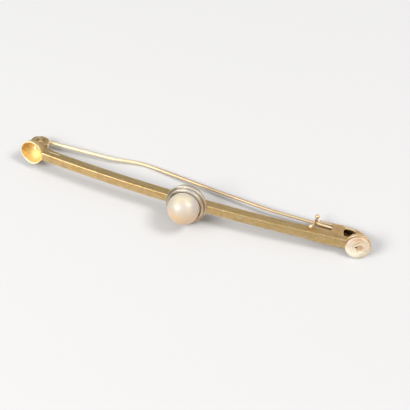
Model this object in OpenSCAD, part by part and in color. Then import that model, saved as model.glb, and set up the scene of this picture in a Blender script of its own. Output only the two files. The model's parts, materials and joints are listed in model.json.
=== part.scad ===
// Arched gold bar brooch with a pearl in a white bezel at its middle, a small
// pearl cup at each end (one empty, one with a worn pearl), and a hinged pin
// whose tip is held by a turning safety catch. It lies on its lower edge, as
// it comes to rest on a table. All lengths are millimetres.

/* [Bar] */
// Distance between the axes of the two end cups
cup_span = 61; // [56:0.5:66]
// How far the middle of the bar bows forward of its ends
arch_rise = 1.95; // [1.6:0.05:2.3]
// Width of the folded bar, seen from its front
bar_w = 1.5; // [1.4:0.02:1.6]
// Depth of the folded bar, front to back
bar_d = 1.8; // [1.6:0.05:2]
// Thickness of the folded gold sheet
sheet = 0.3; // [0.26:0.01:0.32]

/* [Centre setting] */
// Radius of the centre pearl
pearl_r = 2.84; // [2.7:0.01:3]
// How far the centre of the pearl stands ahead of the front of the bar
pearl_ahead = 1.6; // [1.4:0.05:1.8]
// Thickness of the lip, the upper step of the bezel
lip_wall = 0.38; // [0.32:0.01:0.45]
// How much further out than the lip the lower step reaches
step_out = 0.36; // [0.28:0.01:0.45]
// How far the lip stands ahead of the front of the bar
lip_ahead = 0.85; // [0.7:0.05:0.95]
// How far the lower step stands ahead of the front of the bar
step_ahead = 0.25; // [0.15:0.05:0.3]

/* [End cups] */
// Outer radius of the end cups
cup_r = 2.3; // [2.2:0.05:2.4]
// Depth of the end cups
cup_depth = 2.2; // [2.1:0.05:2.2]
// Wall thickness of the end cups
cup_wall = 0.16; // [0.14:0.01:0.2]
// Radius of the pegs that hold the pearls
peg_r = 0.28; // [0.24:0.01:0.3]

/* [Hinge] */
// Distance of the rivet behind the front of the bar
rivet_depth = 3.55; // [3.4:0.05:3.7]
// Radius of the round end of the hinge ears
ear_r = 1.6; // [1.5:0.05:1.65]
// Radius of the rivet shank
rivet_r = 0.35; // [0.3:0.01:0.38]
// Radius of the rivet heads
rivet_head_r = 0.58; // [0.5:0.02:0.64]

/* [Pin] */
// Radius of the pin stem at its root
stem_r = 0.37; // [0.34:0.01:0.38]
// Radius of the straight front stretch of the pin, up to its point
point_r = 0.27; // [0.25:0.01:0.27]
// Free space round a moving piece
play = 0.03; // [0.02:0.005:0.04]

/* [Safety catch] */
// Depth of the catch plates behind the front of the bar
plate_depth = 4.4; // [4.35:0.05:4.6]
// Outer radius of the turning barrel
barrel_r = 0.42; // [0.41:0.005:0.42]
// Radius of the ball on the thumb post
knob_r = 0.4; // [0.34:0.01:0.42]

/* [Hidden] */

$fn = 64;
arc_fn = 720;
pearl_fn = 128;
gold = [0.80, 0.62, 0.30];
bright_gold = [0.88, 0.74, 0.42];
white_gold = [0.80, 0.78, 0.73];
nacre = [0.93, 0.88, 0.78];
over = 0.5;
overlap = 0.01;

// The arch, a circle through the two ends and the middle
half_span = cup_span / 2;
arch_r = (half_span * half_span + arch_rise * arch_rise) / (2 * arch_rise);
end_turn = asin(half_span / arch_r);
inner_half = bar_w / 2 - sheet;
function front_y(x) = arch_r - sqrt(arch_r * arch_r - x * x);

// Centre setting, with depths behind the front of the bar
lip_gap = 0.12;
lip_hole_r = pearl_r + lip_gap;
lip_r = lip_hole_r + lip_wall;
bezel_r = lip_r + step_out;
bezel_back = 0.5;
seat_gap = 0.03;
dish_front = bezel_back + seat_gap;
dish_flange = 0.4;
dish_flange_r = bezel_r - 0.3;
dish_wall = 0.35;
pearl_gap = 0.1;
groove_w = 0.1;
groove_d = 0.22;
lip_bevel = 0.06;
lip_round = 0.08;
step_bevel = 0.06;
centre_peg_r = 0.35;
centre_peg_top = -pearl_ahead + 0.4;

// End cups
cup_sphere_r = (cup_r * cup_r + cup_depth * cup_depth) / (2 * cup_depth);
cup_ahead = cup_sphere_r - cup_depth;
cup_floor = cup_depth - cup_wall;
stub_len = 0.95;
stub_lean = 22;
stub_x = 0.03;
stub_z = 0.1;
peg_top = -0.15;
worn_peg_x = -0.25;

// The worn pearl fills its cup and stands over the cup's rim
end_pearl_gap = 0.06;
bead_r = cup_r - 0.1;
bead_over = 0.05;
bead_front = 0.62;
bead_side = 0.2;
bead_rise = bead_front - bead_side;
bead_dome_r = (bead_r * bead_r + bead_rise * bead_rise) / (2 * bead_rise);
chip_r = 0.85;
chip = [0.42, -1.1, 0.25];

// Hinge
rivet_x = -half_span + 0.15;
rivet_y = front_y(rivet_x) + rivet_depth;
head_h = 0.18;
head_gap = 0.02;
ear_len = 5.2;
ear_shoulder = 2.15;
ear_flank_x = -half_span + ear_len;
ear_step_x = -half_span + ear_shoulder;
ear_foot = 1.2;
ear_start = 0.7;
ear_step = 0.3;
ear_heel = 0.1;
notch = [ear_step_x - 0.35, front_y(ear_step_x) + bar_d + 0.8];
notch_r = 0.45;

// Pin: the points of its centre line. Its radius shrinks a little at each one,
// and each stretch reaches a hair past its ends to close the knee there.
stem_off = ear_r + play * 2 - stem_r;
plate_in = 7.63;
plate_x = half_span - plate_in;
catch_depth = 4.14;
catch_y = front_y(plate_x) + catch_depth;
pin_reach = 1.63;
pin_straight = 10.5;
pin_bend = 2.5;
tip_x = plate_x + pin_reach;
straight_x = tip_x - pin_straight;
pin_route = [
    [rivet_x, rivet_y + stem_off], [-17, 7.25], [-15.4, 7.5], [-13.2, 8.05], [-12.2, 8.22],
    [-11.2, 8.3], [-10.2, 8.3], [-9, 8.2], [3, 6.5],
    [straight_x - pin_bend, 5.5], [straight_x, catch_y], [tip_x, catch_y]
];
last_run = len(pin_route) - 2;
knee_lap = 0.02;
point_len = 0.85;
point_tip_r = 0.08;
heel_r = stem_off + stem_r + play;
cup_gap = 0.1;
knuckle_r = rivet_depth - cup_depth - cup_gap;
knuckle_half = inner_half - play;

// Safety catch, with x along the bar
plate_end_in = 2.5;
plate_end_x = half_span - plate_end_in;
plate_end_r = 4.6;
wall_lap = 0.95;
wall_front = 0.6;
barrel_x = plate_x - 0.07;
collar_len = 0.8;
collar_r = 0.52;
barrel_end_x = plate_x + 2.78;
barrel_cap = 0.15;
bore_r = point_r + 0.04;
journal_r = 0.32;
journal_len = 0.9;
block_x = barrel_end_x + 0.07;
block_len = 1.5;
thumb_x = barrel_x - collar_len / 2;
post_h = 1.5;
post_r = 0.2;
arm_back = -3.3;
arm_up = 1.36;
arm_side = -0.5;
arm_knob_r = knob_r - 0.02;

// Openings of the upper catch plate: a window over the barrel, open at its
// near end, and the eye
window = [[plate_x - over, plate_x + 2.55], [2.95, 5.05]];
eye = [
    [-0.55, 4.35], [-0.4, 5.15], [0.9, 5.25], [1.75, 4.75],
    [1.1, 4.25], [0.45, 2.95], [-0.25, 2.95], [-0.4, 3.6]
];

// How it lies: on the lower edge of the bezel, the bow of the pin and the
// lower back corner of the catch plates. The tilt raises its front, and the
// roll lowers its right end.
bow = pin_route[6];
bow_r = run_r(5);
corner_y = front_y(plate_end_x) + plate_depth;
reach = -plate_end_x / bow[0];
bow_drop = bow[1] - bezel_back;
corner_drop = corner_y - bezel_back;
first_tilt = acos(bow_r / norm([bezel_r, bow_drop])) - atan(bow_drop / bezel_r);
bow_rise = bezel_r - bow_r / cos(first_tilt);
corner_rise = bezel_r - bar_w / 2;
rest_tilt = atan((corner_rise + reach * bow_rise) / (corner_drop + reach * bow_drop));
rest_roll = asin((bow_rise - bow_drop * tan(rest_tilt)) / bow[0] * cos(rest_tilt));
rest_h = bezel_r * cos(rest_tilt) + bezel_back * sin(rest_tilt);
rest_front = pearl_ahead * cos(rest_tilt) + pearl_r;
rest_back = bow[1] * cos(rest_tilt) + bow_r;

// Puts the brooch, drawn with its front toward -y, into the way it lies
module lie_down() {
    translate([0, (rest_front - rest_back) / 2, rest_h])
        rotate([0, rest_roll, 0])
            rotate([-rest_tilt, 0, 0])
                children();
}

// A place on the arch: the front of the bar is at y = 0 there, its back +y
module on_arch(turn) {
    translate([0, arch_r, 0])
        rotate([0, 0, turn])
            translate([0, -arch_r, 0])
                children();
}

// Turns a shape drawn round z, with z as its depth, to face the front
module facing() {
    rotate([-90, 0, 0]) children();
}

// A band of the arch between two depths, two turns and two heights
module arch_band(depth0, depth1, turn0, turn1, z0, z1) {
    translate([0, arch_r, 0])
        rotate([0, 0, turn0 - 90])
            rotate_extrude(angle = turn1 - turn0, $fn = arc_fn)
                translate([arch_r - depth1, z0])
                    square([depth1 - depth0, z1 - z0]);
}

// The folded bar: a front strip and two sides, open at the back
module folded_bar() {
    difference() {
        arch_band(0, bar_d, -end_turn, end_turn, -bar_w / 2, bar_w / 2);
        arch_band(sheet, bar_d + over, -end_turn - 1, end_turn + 1, -inner_half, inner_half);
    }
}

// Draws an outline as two plates, one on each side of the bar
module both_plates() {
    for (z = [-bar_w / 2, inner_half])
        translate([0, 0, z]) linear_extrude(sheet) children();
}

// A round-ended ear with a small notch in its flank
module ear_outline() {
    difference() {
        union() {
            translate([rivet_x, rivet_y]) circle(ear_r);
            polygon([
                [rivet_x - ear_r, rivet_y],
                [rivet_x - ear_r, front_y(rivet_x) + ear_foot],
                [-half_span, front_y(half_span) + ear_start],
                [ear_flank_x, front_y(ear_flank_x) + ear_foot],
                [ear_flank_x, front_y(ear_flank_x) + bar_d - overlap],
                [ear_step_x, front_y(ear_step_x) + bar_d + ear_step],
                [rivet_x + ear_r - ear_heel, rivet_y]
            ]);
        }
        translate(notch) circle(notch_r);
    }
}

// Moves what is drawn round the middle of the plates' round end to its place
module at_round_end() {
    translate([0, arch_r]) rotate(asin(plate_end_x / arch_r))
        translate([0, plate_depth - plate_end_r - arch_r]) children();
}

module catch_outline() {
    intersection() {
        translate([0, arch_r]) circle(arch_r, $fn = arc_fn);
        union() {
            difference() {
                translate([plate_x, 0]) square([plate_end_x - plate_x, plate_depth * 2]);
                translate([0, arch_r]) circle(arch_r - plate_depth, $fn = arc_fn);
            }
            at_round_end() intersection() {
                circle(plate_end_r);
                translate([-over, -plate_end_r]) square([plate_end_r * 2, plate_end_r * 2]);
            }
        }
    }
}

// The wall that closes the round end between the plates, up to the cup
module end_wall() {
    translate([0, 0, -inner_half - 0.05]) linear_extrude(inner_half * 2 + 0.1) at_round_end()
        intersection() {
            difference() {
                circle(plate_end_r);
                circle(plate_end_r - sheet);
            }
            translate([-wall_lap, wall_front]) square([plate_end_r * 2, plate_end_r * 2]);
        }
}

module catch_openings() {
    translate([window[0][0], window[1][0]])
        square([window[0][1] - window[0][0], window[1][1] - window[1][0]]);
    translate([plate_end_x, 0]) polygon(eye);
}

// The block between the catch plates that the end of the barrel turns in
module journal_block() {
    intersection() {
        translate([block_x, 0, -inner_half - 0.05])
            cube([block_len, plate_depth * 2, inner_half * 2 + 0.1]);
        arch_band(bar_d + 1.1, plate_depth, 0, end_turn, -bar_w / 2, bar_w / 2);
    }
}

// The part behind a depth of a ball that is centred ahead of the cup's rim
module cup_ball(ball_r, from, faces = $fn) {
    intersection() {
        translate([0, -cup_ahead, 0]) sphere(ball_r, $fn = faces);
        translate([-cup_sphere_r, from, -cup_sphere_r])
            cube([cup_sphere_r * 2, cup_sphere_r * 2, cup_sphere_r * 2]);
    }
}

module centre_dish() {
    facing() {
        translate([0, 0, dish_front]) cylinder(r = dish_flange_r, h = dish_flange);
        intersection() {
            translate([0, 0, -pearl_ahead]) sphere(pearl_r + pearl_gap + dish_wall);
            translate([0, 0, dish_front]) cylinder(r = dish_flange_r, h = pearl_r * 2);
        }
    }
}

// Everything that is hollow in the soldered frame
module frame_hollows() {
    translate([0, -pearl_ahead, 0]) sphere(pearl_r + pearl_gap);
    facing() translate([0, 0, -over]) cylinder(r = bezel_r + seat_gap, h = dish_front + over);
    for (side = [-1, 1]) on_arch(side * end_turn) cup_ball(cup_sphere_r - cup_wall, -over);
    translate([rivet_x, rivet_y, -bar_w]) cylinder(r = rivet_r + head_gap, h = bar_w * 2);
    translate([barrel_end_x - over, catch_y, 0]) rotate([0, 90, 0])
        cylinder(r = journal_r + play, h = over + journal_len + 0.1);
    linear_extrude(bar_w) catch_openings();
}

module pegs() {
    facing() translate([0, 0, centre_peg_top])
        cylinder(r = centre_peg_r, h = pearl_r + pearl_gap - pearl_ahead - centre_peg_top + 0.1);
    on_arch(-end_turn) intersection() {
        cup_ball(cup_sphere_r - cup_wall / 2, 0);
        translate([stub_x, cup_floor, stub_z]) rotate([90 - stub_lean, 0, 0])
            translate([0, 0, -over]) cylinder(r = peg_r, h = over + stub_len);
    }
    on_arch(end_turn) translate([worn_peg_x, peg_top, 0]) facing()
        cylinder(r = peg_r, h = cup_floor - peg_top + cup_wall / 3);
}

module bar_frame() {
    color(gold) {
        difference() {
            union() {
                folded_bar();
                both_plates() ear_outline();
                both_plates() catch_outline();
                journal_block();
                end_wall();
                centre_dish();
                for (side = [-1, 1]) on_arch(side * end_turn) cup_ball(cup_sphere_r, 0);
            }
            frame_hollows();
        }
        pegs();
    }
}

module bezel() {
    step_r = lip_r + groove_w;
    color(white_gold) facing() rotate_extrude() polygon([
        [lip_hole_r, bezel_back], [lip_hole_r, lip_bevel - lip_ahead], [lip_hole_r + lip_bevel, -lip_ahead],
        [lip_r - lip_round, -lip_ahead], [lip_r, lip_round - lip_ahead], [lip_r, groove_d - step_ahead],
        [step_r, groove_d - step_ahead], [step_r, -step_ahead], [bezel_r - step_bevel, -step_ahead],
        [bezel_r, step_bevel - step_ahead], [bezel_r, bezel_back]
    ]);
}

module centre_pearl() {
    color(nacre) difference() {
        translate([0, -pearl_ahead, 0]) sphere(pearl_r, $fn = pearl_fn);
        facing() translate([0, 0, centre_peg_top - 0.1])
            cylinder(r = centre_peg_r + play, h = pearl_r * 2);
    }
}

// What is left of the right pearl: a low worn top, broken open round its peg
module end_pearl() {
    color(nacre) on_arch(end_turn) difference() {
        union() {
            cup_ball(cup_sphere_r - cup_wall - end_pearl_gap, -bead_over - overlap, pearl_fn);
            intersection() {
                translate([0, -bead_over - over * 2, 0]) facing()
                    cylinder(r = bead_r, h = over * 2, $fn = pearl_fn);
                translate([0, bead_dome_r - bead_front, 0]) sphere(bead_dome_r, $fn = pearl_fn * 2);
            }
        }
        translate([worn_peg_x, -over * 2, 0]) facing() cylinder(r = peg_r + play, h = cup_r * 2);
        translate(chip) sphere(chip_r);
    }
}

module rivet_head() {
    intersection() {
        cylinder(r = rivet_head_r, h = head_h);
        translate([0, 0, head_h - rivet_head_r * 1.6]) sphere(rivet_head_r * 1.6);
    }
}

module hinge_rivet() {
    head_z = bar_w / 2 + head_gap;
    color(bright_gold) translate([rivet_x, rivet_y, 0]) {
        translate([0, 0, -head_z - overlap]) cylinder(r = rivet_r, h = (head_z + overlap) * 2);
        for (side = [0, 1]) mirror([0, 0, side]) translate([0, 0, head_z]) rivet_head();
    }
}

// Radius of the pin along the stretch that starts at a point of its route
function run_r(i) = stem_r + (point_r - stem_r) * i / last_run;

// A straight stretch of the pin from one point of its route to the next
module pin_run(i) {
    from = pin_route[i];
    to = pin_route[i + 1];
    run = to - from;
    translate([from[0], from[1], 0]) rotate([0, 0, atan2(run[1], run[0])]) rotate([0, 90, 0])
        translate([0, 0, -knee_lap]) cylinder(r = run_r(i), h = norm(run) + knee_lap * 2);
}

// The round tongue between the ears, and its heel where the wire starts
module knuckle() {
    translate([rivet_x, rivet_y, -knuckle_half]) {
        cylinder(r = knuckle_r, h = knuckle_half * 2);
        intersection() {
            cylinder(r = heel_r, h = knuckle_half * 2);
            cube([heel_r * 2, heel_r * 2, knuckle_half * 2]);
        }
    }
}

module pin_stem() {
    tip = pin_route[len(pin_route) - 1];
    color(bright_gold) difference() {
        union() {
            knuckle();
            for (i = [0 : last_run]) pin_run(i);
            translate([tip[0], tip[1], 0]) rotate([0, 90, 0])
                cylinder(r1 = point_r - overlap, r2 = point_tip_r, h = point_len);
        }
        translate([rivet_x, rivet_y, -bar_w]) cylinder(r = rivet_r + play, h = bar_w * 2);
    }
}

// A rod with a ball at its far end, from the barrel's axis to a point
module thumb_rod(end, ball_r) {
    length = norm(end);
    rotate([0, acos(end[2] / length), atan2(end[1], end[0])]) {
        cylinder(r = post_r, h = length);
        translate([0, 0, length]) sphere(ball_r);
    }
}

module safety_catch() {
    color(bright_gold) translate([0, catch_y, 0]) difference() {
        union() {
            translate([barrel_x - collar_len, 0, 0]) rotate([0, 90, 0]) cylinder(r = collar_r, h = collar_len);
            translate([barrel_x - overlap, 0, 0]) rotate([0, 90, 0])
                cylinder(r = barrel_r, h = barrel_end_x - barrel_x + overlap);
            translate([barrel_end_x - overlap, 0, 0]) rotate([0, 90, 0])
                cylinder(r = journal_r, h = journal_len);
            translate([thumb_x, 0, 0]) {
                thumb_rod([0, 0, post_h], knob_r);
                thumb_rod([arm_side, arm_back, arm_up], arm_knob_r);
            }
        }
        translate([barrel_x - collar_len - over, 0, 0]) rotate([0, 90, 0])
            cylinder(r = bore_r, h = over + collar_len + barrel_end_x - barrel_cap - barrel_x);
        translate([barrel_x - collar_len - over, 0, -bore_r])
            cube([over + collar_len + barrel_end_x - barrel_cap - barrel_x, collar_r * 2, bore_r * 2]);
    }
}

lie_down() bar_frame();
lie_down() bezel();
lie_down() centre_pearl();
lie_down() end_pearl();
lie_down() hinge_rivet();
lie_down() pin_stem();
lie_down() safety_catch();
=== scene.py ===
"""Arched pearl bar brooch: its gold, white metal and pearls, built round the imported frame.

Lengths are millimetres in the brooch's own axes unless a name says metres: x runs
along the bar towards the catch, y runs back from the side that the pearls face, and
z towards the upper side. The origin is on the front of the bar at its middle.
"""

import json
import logging
import math
from dataclasses import dataclass, field
from enum import Enum
from typing import Callable, Optional, Sequence

import bmesh
import bpy
import numpy as np
from mathutils import Matrix, Vector, noise


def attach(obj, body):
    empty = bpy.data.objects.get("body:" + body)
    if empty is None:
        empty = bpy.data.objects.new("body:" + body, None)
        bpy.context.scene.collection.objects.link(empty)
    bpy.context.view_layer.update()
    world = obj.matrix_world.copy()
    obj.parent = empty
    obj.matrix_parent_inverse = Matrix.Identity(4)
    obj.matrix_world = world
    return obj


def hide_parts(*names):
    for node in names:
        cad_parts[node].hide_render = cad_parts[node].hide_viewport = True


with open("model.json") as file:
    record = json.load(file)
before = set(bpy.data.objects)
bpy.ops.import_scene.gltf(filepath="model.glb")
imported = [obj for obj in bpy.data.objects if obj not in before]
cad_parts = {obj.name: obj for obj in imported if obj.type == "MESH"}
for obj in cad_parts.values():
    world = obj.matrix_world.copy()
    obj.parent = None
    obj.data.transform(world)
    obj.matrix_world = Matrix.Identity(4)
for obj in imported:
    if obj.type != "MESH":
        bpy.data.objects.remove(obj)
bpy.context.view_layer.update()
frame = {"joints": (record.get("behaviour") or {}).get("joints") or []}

LOG = logging.getLogger("brooch")
MM = 0.001
PLACE = "place_mm"
EDGE = "edge"
HOLLOW = "hollow"
HOLE_SHADE = "deep"
GILT = "gilt"
LAYER = "layer"
LIT_LINING = "lining"
WIRE_RADIUS = "wire_radius"
KNOB_SIZE = "knob_size"
KNOB_TURN = "knob_turn"
FULL_TURN = 2 * math.pi
SAME_POINT_M = 1e-7
NO_LENGTH_M = 1e-8
WORN_BOW = (0.06, 0.3)
NEARLY_STRAIGHT = math.radians(89)
SHARE_OF_SIDE = 0.49
ASIDE = (0.0, 0.3, 1.0)
SPOT_EDGE = (0.45, 1.0)

Colour = tuple[float, float, float]
Place = tuple[float, float, float]
Pair = tuple[float, float]
Outline = list[Pair]
Faces = list[tuple[int, ...]]
Socket = bpy.types.NodeSocket
Move = Callable[[np.ndarray], np.ndarray]


class Side(Enum):
    """An end of the bar."""

    HINGE = -1
    CATCH = 1


# Places and axes


@dataclass(frozen=True)
class BroochAxes:
    """The brooch's own axes, as the frame holds it at rest."""

    origin: Vector
    along: Vector
    behind: Vector
    above: Vector

    @classmethod
    def from_frame(cls: type, rivet: Pair) -> "BroochAxes":
        """Reads the axes from the two joints.

        Args:
            rivet: Place of the rivet's axis along and behind, in millimetres.

        Returns:
            The axes and the origin, in metres of the frame.
        """
        joints = {joint["name"]: joint for joint in frame["joints"]}
        above = Vector(joints["pin_swing"]["axis"]).normalized()
        along = -Vector(joints["safety_turn"]["axis"]).normalized()
        behind = above.cross(along).normalized()
        along = behind.cross(above)
        seat = Vector(joints["pin_swing"]["pos_m"])
        origin = seat - (along * rivet[0] + behind * rivet[1]) * MM
        return cls(origin, along, behind, above)

    @property
    def basis(self) -> np.ndarray:
        """Returns the three directions as rows."""
        return np.array([self.along, self.behind, self.above])

    def matrix(self) -> Matrix:
        """Returns the turn and shift from brooch axes to the frame, both in metres."""
        turn = Matrix((self.along, self.behind, self.above)).transposed().to_4x4()
        return Matrix.Translation(self.origin) @ turn

    def place(self, points: np.ndarray) -> np.ndarray:
        """Turns rows of brooch millimetres into metres of the frame."""
        return np.asarray(points, float) @ self.basis * MM + np.array(self.origin)

    def measure(self, mesh: bpy.types.Mesh) -> np.ndarray:
        """Returns a mesh's points in brooch millimetres."""
        return (mesh_points(mesh) - np.array(self.origin)) @ self.basis.T / MM


@dataclass(frozen=True)
class Arch:
    """The gentle bow of the bar, a circle through its two ends and its middle."""

    cup_span: float = 61.0
    rise: float = 1.95

    @property
    def half(self) -> float:
        """Returns half of the distance between the cups."""
        return self.cup_span / 2

    @property
    def radius(self) -> float:
        """Returns the radius of the front of the bar."""
        return (self.half**2 + self.rise**2) / (2 * self.rise)

    @property
    def half_length(self) -> float:
        """Returns the length of the front from the middle to a cup's axis."""
        return self.radius * math.asin(self.half / self.radius)

    def front(self, x: float) -> float:
        """Returns how far back the front of the bar is at a place along it."""
        return self.radius - math.sqrt(self.radius**2 - x * x)

    def lean(self, side: Side) -> float:
        """Returns the turn of the arch at one of its ends, in radians."""
        return side.value * self.half_length / self.radius

    def bend(self, points: np.ndarray) -> np.ndarray:
        """Bends a straight bar onto the arch.

        Args:
            points: Rows of length along the front, depth behind it, and height.

        Returns:
            The points in brooch axes.
        """
        turn = points[:, 0] / self.radius
        reach = self.radius - points[:, 1]
        return np.column_stack([np.sin(turn) * reach, self.radius - np.cos(turn) * reach,
                                points[:, 2]])

    def at_end(self, points: np.ndarray, side: Side) -> np.ndarray:
        """Moves a piece drawn round a cup's axis to an end of the arch.

        Args:
            points: Rows of x, depth and height round the cup's axis.
            side: The end that it belongs to.

        Returns:
            The points in brooch axes.
        """
        turn = self.lean(side)
        depth = points[:, 1] - self.radius
        x = points[:, 0] * math.cos(turn) - depth * math.sin(turn)
        y = points[:, 0] * math.sin(turn) + depth * math.cos(turn) + self.radius
        return np.column_stack([x, y, points[:, 2]])

    def behind_rim(self, points: np.ndarray, side: Side) -> np.ndarray:
        """Returns how far points are behind the plane of a cup's rim."""
        turn = self.lean(side)
        rim = self.at_end(np.zeros((1, 3)), side)[0]
        return (points - rim) @ np.array([-math.sin(turn), math.cos(turn), 0.0])


def smooth_step(value: np.ndarray, low: float, high: float) -> np.ndarray:
    """Returns 0 below low, 1 above high, and a smooth rise between them."""
    share = np.clip((np.asarray(value, float) - low) / (high - low), 0, 1)
    return share * share * (3 - 2 * share)


def within(value: np.ndarray, limit: float, fade: float) -> np.ndarray:
    """Returns 0 from the limit up, and 1 where a value is below it by the fade or more."""
    return smooth_step(limit - value, 0, fade)


def bell(turns: np.ndarray, angle: float, width: float) -> np.ndarray:
    """Gives a bell curve round a circle.

    Args:
        turns: Angles in radians.
        angle: Where the bell stands, in degrees.
        width: How many degrees away it has fallen to about a third.

    Returns:
        1 at the angle and nearly 0 far away from it.
    """
    off = (np.degrees(turns) - angle + 180) % 360 - 180
    return np.exp(-((off / width) ** 2))


def ripple(points: np.ndarray, size: float, seed: float = 0.0) -> np.ndarray:
    """Gives smooth noise at each point.

    Args:
        points: Rows of x, y and z.
        size: Distance between bumps, in the points' unit.
        seed: Moves the pattern.

    Returns:
        One value from about -1 to 1 for each point.
    """
    shift = Vector((seed, seed * 0.7, -seed))
    return np.array([noise.noise(Vector(p) / size + shift) for p in points])


# Mesh making


def mesh_points(mesh: bpy.types.Mesh) -> np.ndarray:
    """Returns a mesh's points as rows of x, y and z."""
    return np.array([v.co for v in mesh.vertices], float).reshape(-1, 3)


def put_in_scene(name: str, data: bpy.types.ID) -> bpy.types.Object:
    """Makes an object of a mesh, curve, light or camera and links it to the scene."""
    made = bpy.data.objects.new(name, data)
    bpy.context.scene.collection.objects.link(made)
    return made


class Shell:
    """Closed surfaces in brooch millimetres that become one piece."""

    def __init__(self, name: str) -> None:
        """Starts an empty piece of that name."""
        self.name = name
        self.points: list[np.ndarray] = []
        self.faces: Faces = []
        self.hollow: list[np.ndarray] = []
        self.extra: dict[str, np.ndarray] = {}

    def add(self, points: np.ndarray, faces: Sequence[Sequence[int]], hollow: float = 0.0) -> None:
        """Adds a surface.

        Args:
            points: Rows of x, y and z.
            faces: Corners of each face, as row numbers of points.
            hollow: How much dirt and painted shade it takes, from 0 to 1.
        """
        start = sum(len(rows) for rows in self.points)
        self.points.append(np.asarray(points, float))
        self.hollow.append(np.full(len(points), hollow))
        self.faces.extend(tuple(start + corner for corner in face) for face in faces)

    def add_grid(self, rows: np.ndarray, place: Move = lambda p: p, ring_of_rows: bool = False,
                 capped: bool = True) -> None:
        """Adds a surface from rows of points, each row a closed loop.

        Args:
            rows: Array of rows, points in a row, and x, y and z.
            place: Moves the points to where they belong.
            ring_of_rows: Joins the last row to the first.
            capped: Closes the first and the last row with a face.
        """
        count, size = rows.shape[:2]
        faces = []
        for row in range(count if ring_of_rows else count - 1):
            here, after = row * size, (row + 1) % count * size
            for step in range(size):
                beside = (step + 1) % size
                faces.append((here + step, here + beside, after + beside, after + step))
        if capped and not ring_of_rows:
            faces += [tuple(end * size + step for step in range(size)) for end in (0, count - 1)]
        self.add(place(rows.reshape(-1, 3)), faces)

    def add_turned(self, profile: Outline, steps: int, start: np.ndarray, end: np.ndarray,
                   place: Move = lambda p: p) -> None:
        """Adds a turned piece that lies along a line.

        Args:
            profile: Radius and distance from start of each point.
            steps: Number of stretches round.
            start: Where its axis starts.
            end: A point that its axis runs to.
            place: Moves the points to where they belong.
        """
        self.add_grid(lathe(profile, steps), lambda p: place(on_axis(p, start, end)), capped=False)

    def shift(self, move: Move) -> None:
        """Moves every point to where move puts it."""
        self.points = [move(rows) for rows in self.points]

    def build(self, axes: BroochAxes, material: bpy.types.Material, sharp: float = 50.0,
              dirt: Optional[Move] = None, polish: Optional[Move] = None) -> bpy.types.Object:
        """Makes the piece's object.

        Args:
            axes: The brooch's axes.
            material: Its finish.
            sharp: Faces that meet at more degrees than this have a hard edge.
            dirt: Gives how much dirt and painted shade each point takes, from 0 to 1.
            polish: Gives how much brighter each point is, rubbed or with a painted highlight, from 0 to 1.

        Returns:
            The object, with its place in its mesh.
        """
        points = np.concatenate(self.points)
        mesh = bpy.data.meshes.new(self.name)
        mesh.from_pydata([tuple(p) for p in axes.place(points)], [], self.faces)
        set_attribute(mesh, PLACE, points)
        hollow = np.concatenate(self.hollow)
        if dirt is not None:
            hollow = np.clip(hollow + dirt(points), 0, 1)
        set_attribute(mesh, HOLLOW, hollow)
        for name, values in self.extra.items():
            set_attribute(mesh, name, values)
        work = bmesh.new()
        work.from_mesh(mesh)
        bmesh.ops.remove_doubles(work, verts=work.verts, dist=SAME_POINT_M)
        bmesh.ops.dissolve_degenerate(work, edges=work.edges, dist=NO_LENGTH_M)
        bmesh.ops.recalc_face_normals(work, faces=work.faces)
        work.to_mesh(mesh)
        work.free()
        mesh.shade_smooth()
        mesh.set_sharp_from_angle(angle=math.radians(sharp))
        wear = edge_wear(mesh)
        if polish is not None:
            kept = [row.vector for row in mesh.attributes[PLACE].data]
            wear = np.clip(wear + polish(np.array(kept, float).reshape(-1, 3)), 0, 1)
        set_attribute(mesh, EDGE, wear)
        mesh.materials.append(material)
        return put_in_scene(self.name, mesh)


def set_attribute(mesh: bpy.types.Mesh, name: str, values: np.ndarray) -> None:
    """Stores one number, or one vector, for each point of a mesh.

    Args:
        mesh: The mesh.
        name: The attribute's name.
        values: One row for each point.
    """
    values = np.asarray(values, np.float32)
    kind, key = ("FLOAT_VECTOR", "vector") if values.ndim == 2 else ("FLOAT", "value")
    layer = mesh.attributes.get(name) or mesh.attributes.new(name, kind, "POINT")
    layer.data.foreach_set(key, values.ravel())


def edge_wear(mesh: bpy.types.Mesh) -> np.ndarray:
    """Finds the outward edges of a mesh, which handling polishes and where the bar's finish also paints a
    highlight.

    Args:
        mesh: A closed mesh.

    Returns:
        0 on flat and hollow places, up to 1 on an outward edge, for each point.
    """
    points = mesh_points(mesh)
    normals = np.array([v.normal for v in mesh.vertices], float).reshape(-1, 3)
    ends = np.array([e.vertices for e in mesh.edges], int).reshape(-1, 2)
    run = points[ends[:, 1]] - points[ends[:, 0]]
    run = run / np.maximum(np.linalg.norm(run, axis=1), 1e-12)[:, None]
    bow, total = np.zeros(len(points)), np.zeros(len(points))
    for near, sign in ((0, -1.0), (1, 1.0)):
        lean = sign * np.einsum("ij,ij->i", run, normals[ends[:, near]])
        np.add.at(bow, ends[:, near], lean)
        np.add.at(total, ends[:, near], 1)
    return smooth_step(bow / np.maximum(total, 1), *WORN_BOW)


def arc(centre: Pair, radius: float, start: float, end: float, steps: int) -> Outline:
    """Gives points along an arc.

    Args:
        centre: Its centre.
        radius: Its radius.
        start: Angle of its first point, in degrees.
        end: Angle of its last point, in degrees.
        steps: Number of stretches.

    Returns:
        The points, both ends included.
    """
    turns = np.radians(np.linspace(start, end, steps + 1))
    return [(centre[0] + radius * math.cos(t), centre[1] + radius * math.sin(t)) for t in turns]


def knee(one: np.ndarray, corner: np.ndarray, two: np.ndarray, steps: int) -> list[np.ndarray]:
    """Gives points along a smooth turn past a corner.

    Args:
        one: Where it starts, on one side of the corner.
        corner: The corner, which it stays inside.
        two: Where it ends, on the other side.
        steps: Number of stretches.

    Returns:
        The points, both ends included.
    """
    return [one * (1 - share) ** 2 + corner * 2 * share * (1 - share) + two * share**2
            for share in np.linspace(0, 1, steps + 1)]


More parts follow.
